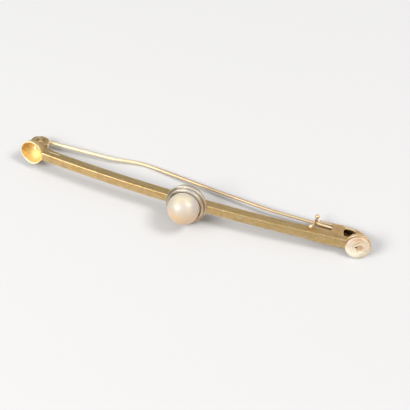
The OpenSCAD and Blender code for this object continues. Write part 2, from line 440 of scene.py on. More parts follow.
def rounded(corners: Sequence[Place], steps: int = 4) -> Outline:
    """Rounds the corners of a closed outline.

    Args:
        corners: The corners in order, each with its own radius.
        steps: Number of stretches in each rounding.

    Returns:
        The rounded outline.
    """
    outline: Outline = []
    count = len(corners)
    for index, (x, y, radius) in enumerate(corners):
        here = np.array([x, y])
        before = np.array(corners[index - 1][:2]) - here
        after = np.array(corners[(index + 1) % count][:2]) - here
        before_len, after_len = np.linalg.norm(before), np.linalg.norm(after)
        before, after = before / before_len, after / after_len
        half = math.acos(float(np.clip(before @ after, -1, 1))) / 2
        if radius <= 0 or half > NEARLY_STRAIGHT:
            outline.append((x, y))
            continue
        back = min(radius / math.tan(half), before_len * SHARE_OF_SIDE, after_len * SHARE_OF_SIDE)
        turned = knee(here + before * back, here, here + after * back, steps)
        outline += [(float(point[0]), float(point[1])) for point in turned]
    return outline


def lathe(profile: Outline, steps: int,
          swell: Optional[Callable[[np.ndarray, np.ndarray], np.ndarray]] = None) -> np.ndarray:
    """Turns a profile round the axis that runs front to back.

    Args:
        profile: Radius and depth of each point.
        steps: Number of stretches round.
        swell: Gives what is added to the radius, from the angle and the depth.

    Returns:
        Rows of points, one row for each point of the profile.
    """
    turns = np.linspace(0, FULL_TURN, steps, endpoint=False)
    rows = []
    for radius, depth in profile:
        reach, depths = np.full(steps, radius, float), np.full(steps, depth)
        if swell is not None and radius > 0:
            reach = reach + swell(turns, depths)
        rows.append(np.column_stack([np.cos(turns) * reach, depths, np.sin(turns) * reach]))
    return np.array(rows)


def plate(outline: Outline, holes: Sequence[Outline], low: float, high: float,
          edge: float) -> tuple[np.ndarray, Faces]:
    """Cuts a flat plate with soft edges from sheet.

    Args:
        outline: Its outer line, in x and y.
        holes: Its openings.
        low: Height of its lower face.
        high: Height of its upper face.
        edge: Rounding of its edges.

    Returns:
        Points and faces.
    """
    sheet = bpy.data.curves.new("sheet", "CURVE")
    sheet.dimensions = "2D"
    sheet.fill_mode = "BOTH"
    sheet.extrude = (high - low) / 2 - edge
    sheet.bevel_depth = edge
    sheet.bevel_resolution = 2
    sheet.offset = -edge
    for line in [outline, *holes]:
        spline = sheet.splines.new("POLY")
        spline.points.add(len(line) - 1)
        for point, (x, y) in zip(spline.points, line):
            point.co = (x, y, 0, 1)
        spline.use_cyclic_u = True
    blank = put_in_scene("sheet", sheet)
    graph = bpy.context.evaluated_depsgraph_get()
    mesh = bpy.data.meshes.new_from_object(blank.evaluated_get(graph))
    points = mesh_points(mesh)
    points[:, 2] += (low + high) / 2
    faces = [tuple(face.vertices) for face in mesh.polygons]
    bpy.data.objects.remove(blank)
    bpy.data.curves.remove(sheet)
    bpy.data.meshes.remove(mesh)
    return points, faces


def on_axis(rows: np.ndarray, start: np.ndarray, end: np.ndarray) -> np.ndarray:
    """Lays a turned piece along a line.

    Args:
        rows: Points of a lathe, whose depth becomes the distance from start.
        start: Where its axis starts.
        end: A point that its axis runs to.

    Returns:
        The points, moved.
    """
    way = (end - start) / np.linalg.norm(end - start)
    side = np.cross(way, ASIDE)
    side = side / np.linalg.norm(side)
    up = np.cross(side, way)
    return start + rows[:, :1] * side + rows[:, 1:2] * way + rows[:, 2:3] * up


# Node trees


class Bench:
    """A node tree, with short ways to add nodes to it."""

    def __init__(self, tree: bpy.types.NodeTree) -> None:
        """Works on that tree."""
        self.tree = tree

    def node(self, kind: str, **settings: object) -> bpy.types.Node:
        """Adds a node and sets its own properties."""
        made = self.tree.nodes.new(kind)
        for name, value in settings.items():
            setattr(made, name, value)
        return made

    def feed(self, target: Socket, source: object) -> None:
        """Links a socket to another, or sets its value."""
        if isinstance(source, Socket):
            self.tree.links.new(source, target)
        else:
            target.default_value = source

    def result(self, kind: str, output: "str | int", feeds: dict["str | int", object],
               **settings: object) -> Socket:
        """Adds a node and returns one of its results.

        Args:
            kind: The node's type.
            output: Name or number of the result.
            feeds: What goes into its inputs, by name or number.
            settings: The node's own properties.

        Returns:
            The output socket.
        """
        made = self.node(kind, **settings)
        for name, source in feeds.items():
            self.feed(made.inputs[name], source)
        return made.outputs[output]

    def attribute(self, name: str, vector: bool = False) -> Socket:
        """Reads one of the piece's own attributes in a material."""
        return self.result("ShaderNodeAttribute", "Vector" if vector else "Fac", {}, attribute_name=name)

    def stored(self, name: str, kind: str) -> Socket:
        """Reads a named attribute in a geometry tree."""
        return self.result("GeometryNodeInputNamedAttribute", "Attribute", {"Name": name}, data_type=kind)

    def dress(self, shape: Socket, metal: Socket, target: Socket) -> None:
        """Ends a geometry tree with real geometry in its finish."""
        whole = self.result("GeometryNodeRealizeInstances", "Geometry", {"Geometry": shape})
        self.feed(target, self.result("GeometryNodeSetMaterial", "Geometry",
                                      {"Geometry": whole, "Material": metal}))

    def maths(self, operation: str, one: object, two: object = 0.0, clamp: bool = False) -> Socket:
        """Works out a number from two others."""
        return self.result("ShaderNodeMath", 0, {0: one, 1: two}, operation=operation, use_clamp=clamp)

    def spread(self, value: object, low: float, high: float, to_low: float = 0.0,
               to_high: float = 1.0) -> Socket:
        """Spreads the range from low to high over another range, and holds the ends."""
        feeds = {"From Min": low, "From Max": high, "To Min": to_low, "To Max": to_high, "Value": value}
        return self.result("ShaderNodeMapRange", "Result", feeds, interpolation_type="SMOOTHSTEP")

    def mix(self, share: object, one: object, two: object) -> Socket:
        """Mixes two colours."""
        first, second = (tone if isinstance(tone, Socket) else (*tone, 1) for tone in (one, two))
        return self.result("ShaderNodeMix", 2, {"Factor": share, 6: first, 7: second}, data_type="RGBA")

    def stretch(self, vector: object, scale: Place, turn: Place = (0, 0, 0)) -> Socket:
        """Turns a place by degrees and then scales it."""
        feeds = {"Rotation": [math.radians(t) for t in turn], "Scale": scale, "Vector": vector}
        return self.result("ShaderNodeMapping", "Vector", feeds)

    def noise(self, vector: object, scale: float, detail: float = 2.0, rough: float = 0.5,
              bend: float = 0.0) -> Socket:
        """Adds soft noise with so many bumps to the millimetre."""
        feeds = {"Vector": vector, "Scale": scale, "Detail": detail, "Roughness": rough,
                 "Distortion": bend}
        return self.result("ShaderNodeTexNoise", "Fac", feeds)

    def parts(self, vector: Socket) -> bpy.types.NodeOutputs:
        """Returns the X, Y and Z of a vector, by name."""
        split = self.node("ShaderNodeSeparateXYZ")
        self.feed(split.inputs[0], vector)
        return split.outputs

    def near(self, place: object, centre: Place, size: Place) -> Socket:
        """Gives 1 in the middle of an egg shape round a place, falling softly to 0 at its border."""
        off = self.result("ShaderNodeVectorMath", "Vector", {0: place, 1: centre}, operation="SUBTRACT")
        share = self.result("ShaderNodeVectorMath", "Vector", {0: off, 1: size}, operation="DIVIDE")
        reach = self.result("ShaderNodeVectorMath", "Value", {0: share}, operation="LENGTH")
        return self.spread(reach, *SPOT_EDGE, 1.0, 0.0)

    def group(self, tree: bpy.types.NodeTree, **values: object) -> bpy.types.NodeOutputs:
        """Places a shared effect with its own values and returns its results by name."""
        made = self.node("ShaderNodeGroup", node_tree=tree)
        for name, value in values.items():
            self.feed(made.inputs[name.capitalize()], value)
        return made.outputs


def new_tree(name: str, kind: str, inputs: dict[str, str], outputs: dict[str, str]
             ) -> tuple[Bench, bpy.types.NodeOutputs, bpy.types.NodeInputs]:
    """Starts a node tree with named inputs and outputs.

    Args:
        name: Its name.
        kind: Its type.
        inputs: Kind of each input socket, by name.
        outputs: Kind of each output socket, by name.

    Returns:
        The bench to build it on, what goes into it and what comes out of it.
    """
    tree = bpy.data.node_groups.new(name, kind)
    for way, sockets in (("INPUT", inputs), ("OUTPUT", outputs)):
        for label, socket in sockets.items():
            tree.interface.new_socket(label, in_out=way, socket_type=f"NodeSocket{socket}")
    bench = Bench(tree)
    return bench, bench.node("NodeGroupInput").outputs, bench.node("NodeGroupOutput").inputs


def wire_tree() -> bpy.types.NodeTree:
    """Builds the tree that draws a round wire along a path.

    Returns:
        The tree. The radius comes from the path's own attribute.
    """
    bench, given, result = new_tree("wire along path", "GeometryNodeTree",
                                    {"Path": "Geometry", "Sides": "Int", "Metal": "Material"},
                                    {"Wire": "Geometry"})
    path = bench.result("GeometryNodeMeshToCurve", "Curve", {"Mesh": given["Path"]})
    section = bench.result("GeometryNodeCurvePrimitiveCircle", "Curve",
                           {"Resolution": given["Sides"], "Radius": 1.0})
    wire = bench.result("GeometryNodeCurveToMesh", "Mesh",
                        {"Curve": path, "Profile Curve": section, "Fill Caps": True,
                         "Scale": bench.stored(WIRE_RADIUS, "FLOAT")})
    bench.dress(wire, given["Metal"], result["Wire"])
    return bench.tree


def knob_tree() -> bpy.types.NodeTree:
    """Builds the tree that sets a copy of one knob on each point.

    Returns:
        The tree. Size and turn of each knob come from the points' attributes.
    """
    bench, given, result = new_tree("knobs on points", "GeometryNodeTree",
                                    {"Points": "Geometry", "Knob": "Object", "Metal": "Material"},
                                    {"Knobs": "Geometry"})
    shape = bench.result("GeometryNodeObjectInfo", "Geometry", {"Object": given["Knob"]})
    copies = bench.result("GeometryNodeInstanceOnPoints", "Instances",
                          {"Points": given["Points"], "Instance": shape,
                           "Scale": bench.stored(KNOB_SIZE, "FLOAT"),
                           "Rotation": bench.stored(KNOB_TURN, "FLOAT_VECTOR")})
    bench.dress(copies, given["Metal"], result["Knobs"])
    return bench.tree


def grow(name: str, seed: bpy.types.Mesh, tree: bpy.types.NodeTree,
         values: dict[str, object]) -> bpy.types.Mesh:
    """Runs a node tree on a mesh and keeps the result as a plain mesh.

    Args:
        name: Name of the result.
        seed: The path or the points.
        tree: The node tree.
        values: Its inputs, by name.

    Returns:
        The plain mesh.
    """
    holder = put_in_scene(name, seed)
    modifier = holder.modifiers.new(tree.name, "NODES")
    modifier.node_group = tree
    for item in tree.interface.items_tree:
        if item.item_type == "SOCKET" and item.in_out == "INPUT" and item.name in values:
            modifier[item.identifier] = values[item.name]
    graph = bpy.context.evaluated_depsgraph_get()
    mesh = bpy.data.meshes.new_from_object(holder.evaluated_get(graph))
    mesh.name = name
    holder.modifiers.remove(modifier)
    bpy.data.objects.remove(holder)
    return mesh


def points_mesh(name: str, points: np.ndarray, joined: bool) -> bpy.types.Mesh:
    """Makes a mesh of bare points, or of a line through them.

    Args:
        name: Its name.
        points: Rows of x, y and z in metres.
        joined: Whether a line joins them.

    Returns:
        The mesh.
    """
    mesh = bpy.data.meshes.new(name)
    edges = [(i, i + 1) for i in range(len(points) - 1)] if joined else []
    mesh.from_pydata([tuple(p) for p in points], edges, [])
    return mesh


# Finishes


def scratch_effect() -> bpy.types.NodeTree:
    """Builds the shared effect of fine scratches and rubbed streaks along a direction.

    Returns:
        The node group, with a height and a mask.
    """
    bench, given, result = new_tree("fine scratches", "ShaderNodeTree",
                                    {"Place": "Vector", "Fineness": "Float", "Mix": "Float"},
                                    {"Height": "Float", "Mask": "Float"})
    place = given["Place"]
    fine = bench.noise(bench.stretch(place, (0.35, 9.0, 9.0)), 1.0, 3, 0.6)
    streak = bench.noise(bench.stretch(place, (2.6, 5.0, 5.0), (14, 21, 28)), 1.0, 2, 0.55, 0.3)
    pits = bench.noise(place, 7.0, 3, 0.65)
    height, *others = (bench.maths("MULTIPLY", bench.maths("SUBTRACT", pattern, 0.5), share)
                       for pattern, share in ((fine, given["Fineness"]), (streak, given["Mix"]), (pits, 0.6)))
    for other in others:
        height = bench.maths("ADD", height, other)
    bench.feed(result["Height"], height)
    bench.feed(result["Mask"], bench.spread(height, -0.25, 0.25))
    return bench.tree


def age_effect() -> bpy.types.NodeTree:
    """Builds the shared effect of tarnish and painted shade in hollows, and of polish and painted highlights
    on edges.

    Returns:
        The node group, with a colour, a mask of dirt and painted shade, and a mask of edge polish and painted
        highlights.
    """
    bench, given, result = new_tree(
        "tarnish and edge polish", "ShaderNodeTree",
        {"Place": "Vector", "Metal": "Color", "Worn": "Color", "Dirt": "Color", "Hollow": "Float",
         "Edge": "Float", "Patches": "Float"},
        {"Colour": "Color", "Dirt": "Float", "Edge": "Float"})
    speck = bench.noise(given["Place"], 2.6, 4, 0.6)
    # The hollow mask carries dirt and painted shade, the edge mask polish and painted highlights.
    hollow_dirt_and_shade = bench.maths("MULTIPLY", given["Hollow"], bench.spread(speck, 0.25, 0.62, 0.35, 1.0))
    cloud = bench.spread(bench.noise(given["Place"], 0.55, 3, 0.6), 0.42, 0.72)
    dirt = bench.maths("MAXIMUM", hollow_dirt_and_shade, bench.maths("MULTIPLY", cloud, given["Patches"]), True)
    rub_and_highlight = bench.maths("MULTIPLY", given["Edge"], bench.spread(speck, 0.2, 0.5, 0.55, 1.0), True)
    dull = bench.mix(dirt, given["Metal"], given["Dirt"])
    for name, source in (("Colour", bench.mix(rub_and_highlight, dull, given["Worn"])), ("Dirt", dirt), ("Edge", rub_and_highlight)):
        bench.feed(result[name], source)
    return bench.tree


@dataclass
class Effects:
    """The effects that more than one finish uses, built once."""

    scratches: bpy.types.NodeTree = field(default_factory=scratch_effect)
    age: bpy.types.NodeTree = field(default_factory=age_effect)


def new_material(name: str) -> tuple[bpy.types.Material, Bench, bpy.types.Node]:
    """Starts a material.

    Args:
        name: Its name.

    Returns:
        The material, the bench on its tree and its main shader.
    """
    material = bpy.data.materials.new(name)
    material.use_nodes = True
    shader = next(n for n in material.node_tree.nodes if n.type == "BSDF_PRINCIPLED")
    return material, Bench(material.node_tree), shader


@dataclass(frozen=True)
class Surface:
    """What changes over a finish, and how deep its height goes, in metres."""

    colour: Socket
    rough: Socket
    height: Socket
    relief: float


@dataclass(frozen=True)
class Finish:
    """A finish of the brooch, with the name of a material slot in the record."""

    name: str
    slot: str

    def surface(self, bench: Bench, place: Socket, effects: Effects) -> Surface:
        """Works out what changes over the surface.

        Args:
            bench: The bench on the material's tree.
            place: The place on the brooch.
            effects: The shared effects.

        Returns:
            The surface.
        """
        raise NotImplementedError

    def plain(self) -> dict[str, object]:
        """Returns the shader's values that are the same all over."""
        raise NotImplementedError

    def material(self, effects: Effects) -> bpy.types.Material:
        """Builds the material.

        Args:
            effects: The shared effects.

        Returns:
            The material.
        """
        material, bench, shader = new_material(self.name)
        seen = self.surface(bench, bench.attribute(PLACE, vector=True), effects)
        bump = bench.result("ShaderNodeBump", "Normal", {"Distance": seen.relief, "Height": seen.height})
        feeds = {"Base Color": seen.colour, "Roughness": seen.rough, "Normal": bump}
        for name, value in (self.plain() | feeds).items():
            bench.feed(shader.inputs[name], value)
        return material


@dataclass(frozen=True)
class Stain:
    """A soft-edged mark on the metal: a dark one is painted shade, a bright one a painted highlight."""

    centre: Place
    size: Place
    strength: float = 0.9
    # bright makes the mark a painted highlight; otherwise it is painted shade.
    bright: bool = False


@dataclass(frozen=True)
class MetalFinish(Finish):
    """A worn precious metal: its colour, tarnish, brushing and edge polish, and the painted light and shade
    that some finishes carry.
    """

    metal: Colour
    # worn colours rubbed edges and bright stains; where it is nearly white it is a painted highlight as well
    # as wear.
    worn: Colour
    # dirt colours dirt and, in recesses, painted shade.
    dirt: Colour
    warm: Colour
    roughness: float = 0.38
    fineness: float = 1.0
    hatch: float = 0.7
    patches: float = 0.2
    relief: float = 4e-6
    streaks: float = 0.28
    metallic: float = 1.0
    # far, span, upper, upper_far and upper_at paint light and shade by place: a tone that drifts along x, and
    # a lit or shaded upper side.
    far: Optional[Colour] = None
    span: Pair = (-26.0, 26.0)
    upper: Optional[Colour] = None
    upper_far: Optional[Colour] = None
    upper_at: Pair = (0.7, 0.742)
    # The colour for a cup's inside is a lit copy of the metal, painted into the hollow.
    lining: Optional[Colour] = None
    stains: tuple[Stain, ...] = ()
    marks_rough: float = 0.1
    dirt_rough: float = 0.3
    edge_smooth: float = 0.08

    def tone(self, bench: Bench, place: Socket) -> Socket:
        """Works out the clean metal's colour.

        Args:
            bench: The bench on the material's tree.
            place: The place on the brooch.

        Returns:
            The colour. Where the finish says so it carries painted light and shade: a drift
            towards the catch end, its own tone on the upper side and a lit copy inside a cup.
        """
        cloud = bench.spread(bench.noise(place, 0.3, 2, 0.5), 0.35, 0.65)
        tone = bench.mix(cloud, self.metal, self.warm)
        parts = bench.parts(place)
        along = bench.spread(parts["X"], *self.span)
        if self.far is not None:
            tone = bench.mix(along, tone, self.far)
        if self.upper is not None:
            top = bench.mix(along, self.upper, self.upper_far) if self.upper_far else self.upper
            tone = bench.mix(bench.spread(parts["Z"], *self.upper_at), tone, top)
        if self.lining is not None:
            tone = bench.mix(bench.attribute(LIT_LINING), tone, self.lining)
        return tone

    def surface(self, bench: Bench, place: Socket, effects: Effects) -> Surface:
        """Works out what changes over the metal.

        Args:
            bench: The bench on the material's tree.
            place: The place on the brooch.
            effects: The shared effects.

        Returns:
            The surface.
        """
        marks = bench.group(effects.scratches, place=place, fineness=self.fineness, mix=self.hatch)
        streak = bench.maths("MULTIPLY", marks["Mask"], self.streaks)
        # The first mask is dirt and painted shade, the second edge wear and painted highlights; dark stains
        # add painted shade, bright stains painted highlights.
        masks = {False: bench.attribute(HOLLOW), True: bench.attribute(EDGE)}
        for stain in self.stains:
            spot = bench.maths("MULTIPLY", bench.near(place, stain.centre, stain.size), stain.strength)
            masks[stain.bright] = bench.maths("MAXIMUM", masks[stain.bright], spot)
        metal = bench.mix(streak, self.tone(bench, place), self.worn)
        age = bench.group(effects.age, place=place, metal=metal,
                          worn=(*self.worn, 1), dirt=(*self.dirt, 1), hollow=masks[False], edge=masks[True],
                          patches=self.patches)
        rough = bench.maths("ADD", self.roughness, bench.maths("MULTIPLY", marks["Mask"], self.marks_rough))
        rough = bench.maths("ADD", rough, bench.maths("MULTIPLY", age["Dirt"], self.dirt_rough))
        rough = bench.maths("SUBTRACT", rough, bench.maths("MULTIPLY", age["Edge"], self.edge_smooth), True)
        return Surface(age["Colour"], rough, marks["Height"], self.relief)

    def plain(self) -> dict[str, object]:
        """Returns how metallic it is."""
        return {"Metallic": self.metallic}


@dataclass(frozen=True)
class PearlFinish(Finish):
    """Nacre: cream with faint clouds of pink and straw under a clear skin."""

    body: Colour
    blush: Colour
    straw: Colour
    # foot is painted light on the low side, mixed in over foot_at.
    foot: Colour
    foot_at: Pair
    roughness: float = 0.4
    rough_range: float = 0.1
    relief: float = 6e-6
    cloud: float = 0.35
    clear: float = 0.9
    clear_rough: float = 0.42
    depth: float = 0.25
    depth_m: float = 0.0006
    depth_colour: Colour = (1.0, 0.75, 0.5)

    def plain(self) -> dict[str, object]:
        """Returns the depth and the clear skin of nacre."""
        return {"Subsurface Weight": self.depth, "Subsurface Radius": self.depth_colour,
                "Subsurface Scale": self.depth_m, "Specular IOR Level": 0.6, "Coat Weight": self.clear,
                "Coat Roughness": self.clear_rough, "Coat IOR": 1.6}

    def clouds(self, bench: Bench, place: Socket) -> Socket:
        """Mixes the body colour with clouds of pink and straw, and with painted light on its low side: a warm
        reflection on the centre pearl, a highlight on the worn one.
        """
        pink = bench.spread(bench.noise(place, self.cloud, 2, 0.5), 0.4, 0.7)
        turned = bench.stretch(place, (1.3, 0.8, 1.0), (40, 15, 70))
        straw = bench.spread(bench.noise(turned, self.cloud * 1.4, 3, 0.55), 0.45, 0.75)
        skin = bench.mix(straw, bench.mix(pink, self.body, self.blush), self.straw)
        return bench.mix(bench.spread(bench.parts(place)["Z"], *self.foot_at), self.foot, skin)

    def uneven(self, bench: Bench, pattern: Socket) -> Socket:
        """Returns a roughness that follows a pattern."""
        return bench.spread(pattern, 0.3, 0.7, self.roughness, self.roughness + self.rough_range)

    def surface(self, bench: Bench, place: Socket, effects: Effects) -> Surface:
        """Works out what changes over whole nacre.

        Args:
            bench: The bench on the material's tree.
            place: The place on the brooch.
            effects: The shared effects, which whole nacre doesn't use.

        Returns:
            The surface.
        """
        layers = bench.noise(bench.stretch(place, (1.0, 3.2, 1.4), (20, 0, 35)), 2.2, 4, 0.6, 0.6)
        return Surface(self.clouds(bench, place), self.uneven(bench, layers), layers, self.relief)


@dataclass(frozen=True)
class WornPearlFinish(PearlFinish):
    """Nacre that has worn through its layers, down to a tan core."""

    bare: Colour = (0.50, 0.30, 0.16)
    # deep is painted shade in the peg hole.
    deep: Colour = (0.16, 0.09, 0.03)
    gilt: Colour = (0.36, 0.28, 0.09)
    ring_pitch: float = 0.34
    ring_wave: float = 0.7
    ring_line: float = 0.16

    def surface(self, bench: Bench, place: Socket, effects: Effects) -> Surface:
        """Works out what changes over worn nacre.

        Args:
            bench: The bench on the material's tree.
            place: The place on the brooch.
            effects: The shared effects, of which it takes the scratches.

        Returns:
            The surface.
        """
        marks = bench.group(effects.scratches, place=place, fineness=0.6, mix=0.6)
        grain = bench.noise(place, 3.2, 4, 0.65)
        wave = bench.maths("MULTIPLY", grain, self.ring_pitch * self.ring_wave)
        ring = bench.maths("PINGPONG", bench.maths("ADD", bench.attribute(LAYER), wave), self.ring_pitch / 2)
        line = bench.spread(ring, 0.0, self.ring_pitch * self.ring_line, 0.55, 0.0)
        patchy = bench.spread(grain, 0.3, 0.6, 0.75, 1.0)
        core = bench.maths("MULTIPLY", bench.attribute(HOLLOW), patchy, True)
        colour = self.clouds(bench, place)
        for share, tone in ((line, self.straw), (bench.attribute(GILT), self.gilt), (core, self.bare),
                            (bench.attribute(HOLE_SHADE), self.deep)):
            colour = bench.mix(share, colour, tone)
        height = bench.maths("ADD", grain, bench.maths("MULTIPLY", marks["Height"], 0.2))
        return Surface(colour, self.uneven(bench, grain), height, self.relief)


@dataclass(frozen=True)
class PaperFinish:
    """The plain pale surface under the brooch."""

    name: str = "pale floor"
    colour: Colour = (0.55, 0.55, 0.55)
    roughness: float = 0.9
    gloss: float = 0.2

    def material(self) -> bpy.types.Material:
        """Builds the material."""
        material, bench, shader = new_material(self.name)
        for name, value in (("Base Color", (*self.colour, 1)), ("Roughness", self.roughness),
                            ("Specular IOR Level", self.gloss)):
            bench.feed(shader.inputs[name], value)
        return material


@dataclass
class Palette:
    """Every finish of the brooch, and its material once a piece has asked for it."""

    effects: Effects = field(default_factory=Effects)
    made: dict[str, bpy.types.Material] = field(default_factory=dict)
    # The bar's far tone is painted shade towards the catch, its upper tones painted shade on the upper side
    # that lightens towards the catch, its nearly white worn colour a painted highlight on the ridge as well
    # as wear, and its two bright stains painted highlights on small solder dots of the ridge.
    bar_gold: MetalFinish = MetalFinish(
        "brushed gold", "gold", (0.69, 0.445, 0.125), (1.0, 0.95, 0.90), (0.20, 0.11, 0.035),
        (0.65, 0.40, 0.105), roughness=0.36, far=(0.54, 0.345, 0.085), upper=(0.545, 0.375, 0.10),
        upper_far=(0.66, 0.42, 0.105),
        stains=(Stain((28.17, 1.3, 0.7), (0.3, 0.4, 0.3), 1.0, True),
                Stain((26.71, 1.21, 0.7), (0.22, 0.3, 0.3), 0.8, True)))
    # Its upper tone is painted light on the upper faces, its bright stains painted highlights along the upper
    # plate's edge, and its dark dirt colour serves dirt and the painted shade inside the sheet.
    plate_gold: MetalFinish = MetalFinish(
        "warm plate gold", "gold", (0.60, 0.43, 0.20), (1.0, 0.88, 0.66), (0.085, 0.038, 0.01),
        (0.56, 0.39, 0.17), patches=0.16, upper=(0.78, 0.485, 0.18),
        stains=(Stain((24.3, 5.42, 0.74), (1.5, 0.3, 0.3), 0.8, True),
                Stain((28.4, 5.64, 0.74), (1.7, 0.33, 0.4), 1.0, True)))
    # Its dark stains are painted shade round the rivet head and in the notch, its bright stains painted
    # highlights on the rivet head, the back rim and the notch's edges.
    ear_gold: MetalFinish = MetalFinish(
        "dull ear gold", "gold", (0.59, 0.405, 0.155), (1.0, 0.84, 0.60), (0.13, 0.07, 0.02),
        (0.53, 0.34, 0.115), fineness=0.9, hatch=0.8, patches=0.3,
        stains=(Stain((-30.82, 5.26, 0.95), (0.4, 0.5, 0.4)), Stain((-29.85, 6.0, 0.85), (0.5, 0.45, 0.4)),
                Stain((-28.4, 3.98, 0.77), (0.3, 0.35, 0.5)),
                Stain((-30.29, 5.35, 0.95), (0.3, 0.35, 0.3), 0.6, True),
                Stain((-31.18, 6.6, 0.75), (0.5, 0.4, 0.3), 0.9, True),
                Stain((-28.77, 4.59, 0.77), (0.32, 0.4, 0.3), 0.5, True),
                Stain((-28.53, 5.28, 0.77), (0.3, 0.45, 0.4), 0.8, True)))
    # Its colour for the inside is a lit copy painted into the hollow, and its orange dirt colour serves as
    # painted shade on the side of the hollow away from the bar as well as dirt.
    cup_gold: MetalFinish = MetalFinish(
        "bright cup gold", "gold", (0.58, 0.42, 0.19), (1.0, 0.93, 0.74), (0.58, 0.30, 0.07),
        (0.54, 0.37, 0.15), roughness=0.66, fineness=0.3, hatch=0.4, patches=0.12,
        lining=(0.92, 0.71, 0.27))
    # Its pale colour is partly the gold's own and partly painted light, and its far tone is painted shade
    # that dims the wire towards the catch.
    wire_gold: MetalFinish = MetalFinish(
        "drawn gold wire", "bright_gold", (0.94, 0.83, 0.58), (0.98, 0.88, 0.68), (0.30, 0.17, 0.06),
        (0.92, 0.78, 0.50), roughness=0.5, fineness=0.8, hatch=0.2, patches=0.12,
        far=(0.61, 0.45, 0.27), span=(-16.0, -4.0))
    # A lighter, less metallic copy of the gold: painted light that makes the barrel, post and arm look lit.
    catch_gold_lit: MetalFinish = MetalFinish(
        "rubbed catch gold", "bright_gold", (0.73, 0.56, 0.34), (0.92, 0.76, 0.53), (0.34, 0.16, 0.06),
        (0.70, 0.51, 0.29), roughness=0.44, fineness=0.6, hatch=0.3, patches=0.1, metallic=0.9)
    # Its far tone is a painted warm reflection on the right of the ring, its upper tone a painted highlight
    # on the top, and its two stains painted shade at the low right and the upper left.
    white_metal: MetalFinish = MetalFinish(
        "white metal", "white_metal", (0.48, 0.43, 0.34), (0.88, 0.84, 0.76), (0.22, 0.14, 0.07),
        (0.45, 0.39, 0.29), fineness=0.8, hatch=0.6, far=(0.70, 0.54, 0.35), span=(-2.6, 3.2),
        upper=(0.67, 0.635, 0.56), upper_at=(1.4, 3.3),
        stains=(Stain((2.4, -0.3, -2.6), (2.2, 2.2, 2.2), 0.5),
                Stain((-2.9, 0.0, 2.0), (1.7, 1.7, 1.7), 0.5)))
    # Its foot tone is a painted warm reflection on the low side.
    nacre: PearlFinish = PearlFinish(
        "nacre", "pearl", (0.505, 0.465, 0.385), (0.51, 0.435, 0.37), (0.60, 0.525, 0.35),
        foot=(0.66, 0.44, 0.24), foot_at=(-1.0, 1.5))
    # Its foot tone is a painted highlight on the low side.
    worn_nacre: WornPearlFinish = WornPearlFinish(
        "worn nacre", "worn_pearl", (0.62, 0.51, 0.40), (0.70, 0.52, 0.47), (0.56, 0.47, 0.21),
        foot=(0.88, 0.82, 0.66), foot_at=(-1.3, 0.3), rough_range=0.18, relief=6e-5, cloud=1.1,
        clear=0.3, clear_rough=0.24)

    def of(self, finish: Finish) -> bpy.types.Material:
        """Returns the material of a finish."""
        if finish.name not in self.made:
            self.made[finish.name] = finish.material(self.effects)
        return self.made[finish.name]


def finish_piece(piece: bpy.types.Object, body: str, node: str) -> bpy.types.Object:
    """Hands a finished piece to the frame.

    Args:
        piece: The piece.
        body: The body that it moves with.
        node: The solid that it stands for.

    Returns:
        The piece.
    """
    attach(piece, body)
    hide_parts(node)
    LOG.info("%s: %d faces, rides on %s", piece.name, len(piece.data.polygons), body)
    return piece


# The soldered gold frame


@dataclass(frozen=True)
class Bowl:
    """The shape that the two end cups share, a ball cut off a little behind its middle."""

    radius: float = 2.3
    depth: float = 2.2
    wall: float = 0.16

    @property
    def ball_r(self) -> float:
        """Returns the radius of the outer ball."""
        return (self.radius**2 + self.depth**2) / (2 * self.depth)

    @property
    def ahead(self) -> float:
        """Returns how far the ball's centre is ahead of the rim."""
        return self.ball_r - self.depth

    def reach(self, depth: np.ndarray, height: np.ndarray) -> np.ndarray:
        """Returns how far the middle of the wall is from the cup's axis, along the bar."""
        middle = self.ball_r - self.wall / 2
        return np.sqrt(np.maximum(middle**2 - (depth + self.ahead) ** 2 - height**2, 0.01))


@dataclass(frozen=True)
class BarStock:
    """The folded bar's section, which the plates behind it share."""

    width: float = 1.5
    depth: float = 1.8
    sheet: float = 0.3

    @property
    def inner(self) -> float:
        """Returns the height of the inner side of the upper sheet."""
        return self.width / 2 - self.sheet


@dataclass
class Maker:
    """What every maker of pieces works with."""

    axes: BroochAxes
    palette: Palette

    def make(self, shell: Shell, finish: Finish, node: str = "bar_frame", body: str = "frame",
             **looks: object) -> bpy.types.Object:
        """Builds a shell in a finish and hands it to the frame.

        Args:
            shell: Its surfaces.
            finish: Its finish.
            node: The solid that it stands for.
            body: The body that it moves with.
            looks: How sharp, dirty and polished it is, as Shell.build takes them.

        Returns:
            The piece.
        """
        piece = shell.build(self.axes, self.palette.of(finish), **looks)
        return finish_piece(piece, body, node)


@dataclass
class CupMaker(Maker):
    """What the makers of pieces that meet a cup work with as well."""

    arch: Arch
    bowl: Bowl
    stock: BarStock

    def cup_wall(self, side: Side, level: float) -> tuple[np.ndarray, float]:
        """Returns the middle of a cup's ball, and its wall's radius at a height."""
        middle = self.arch.at_end(np.array([[0, -self.bowl.ahead, 0]]), side)[0]
        return middle, float(self.bowl.reach(np.array(-self.bowl.ahead), np.array(level)))


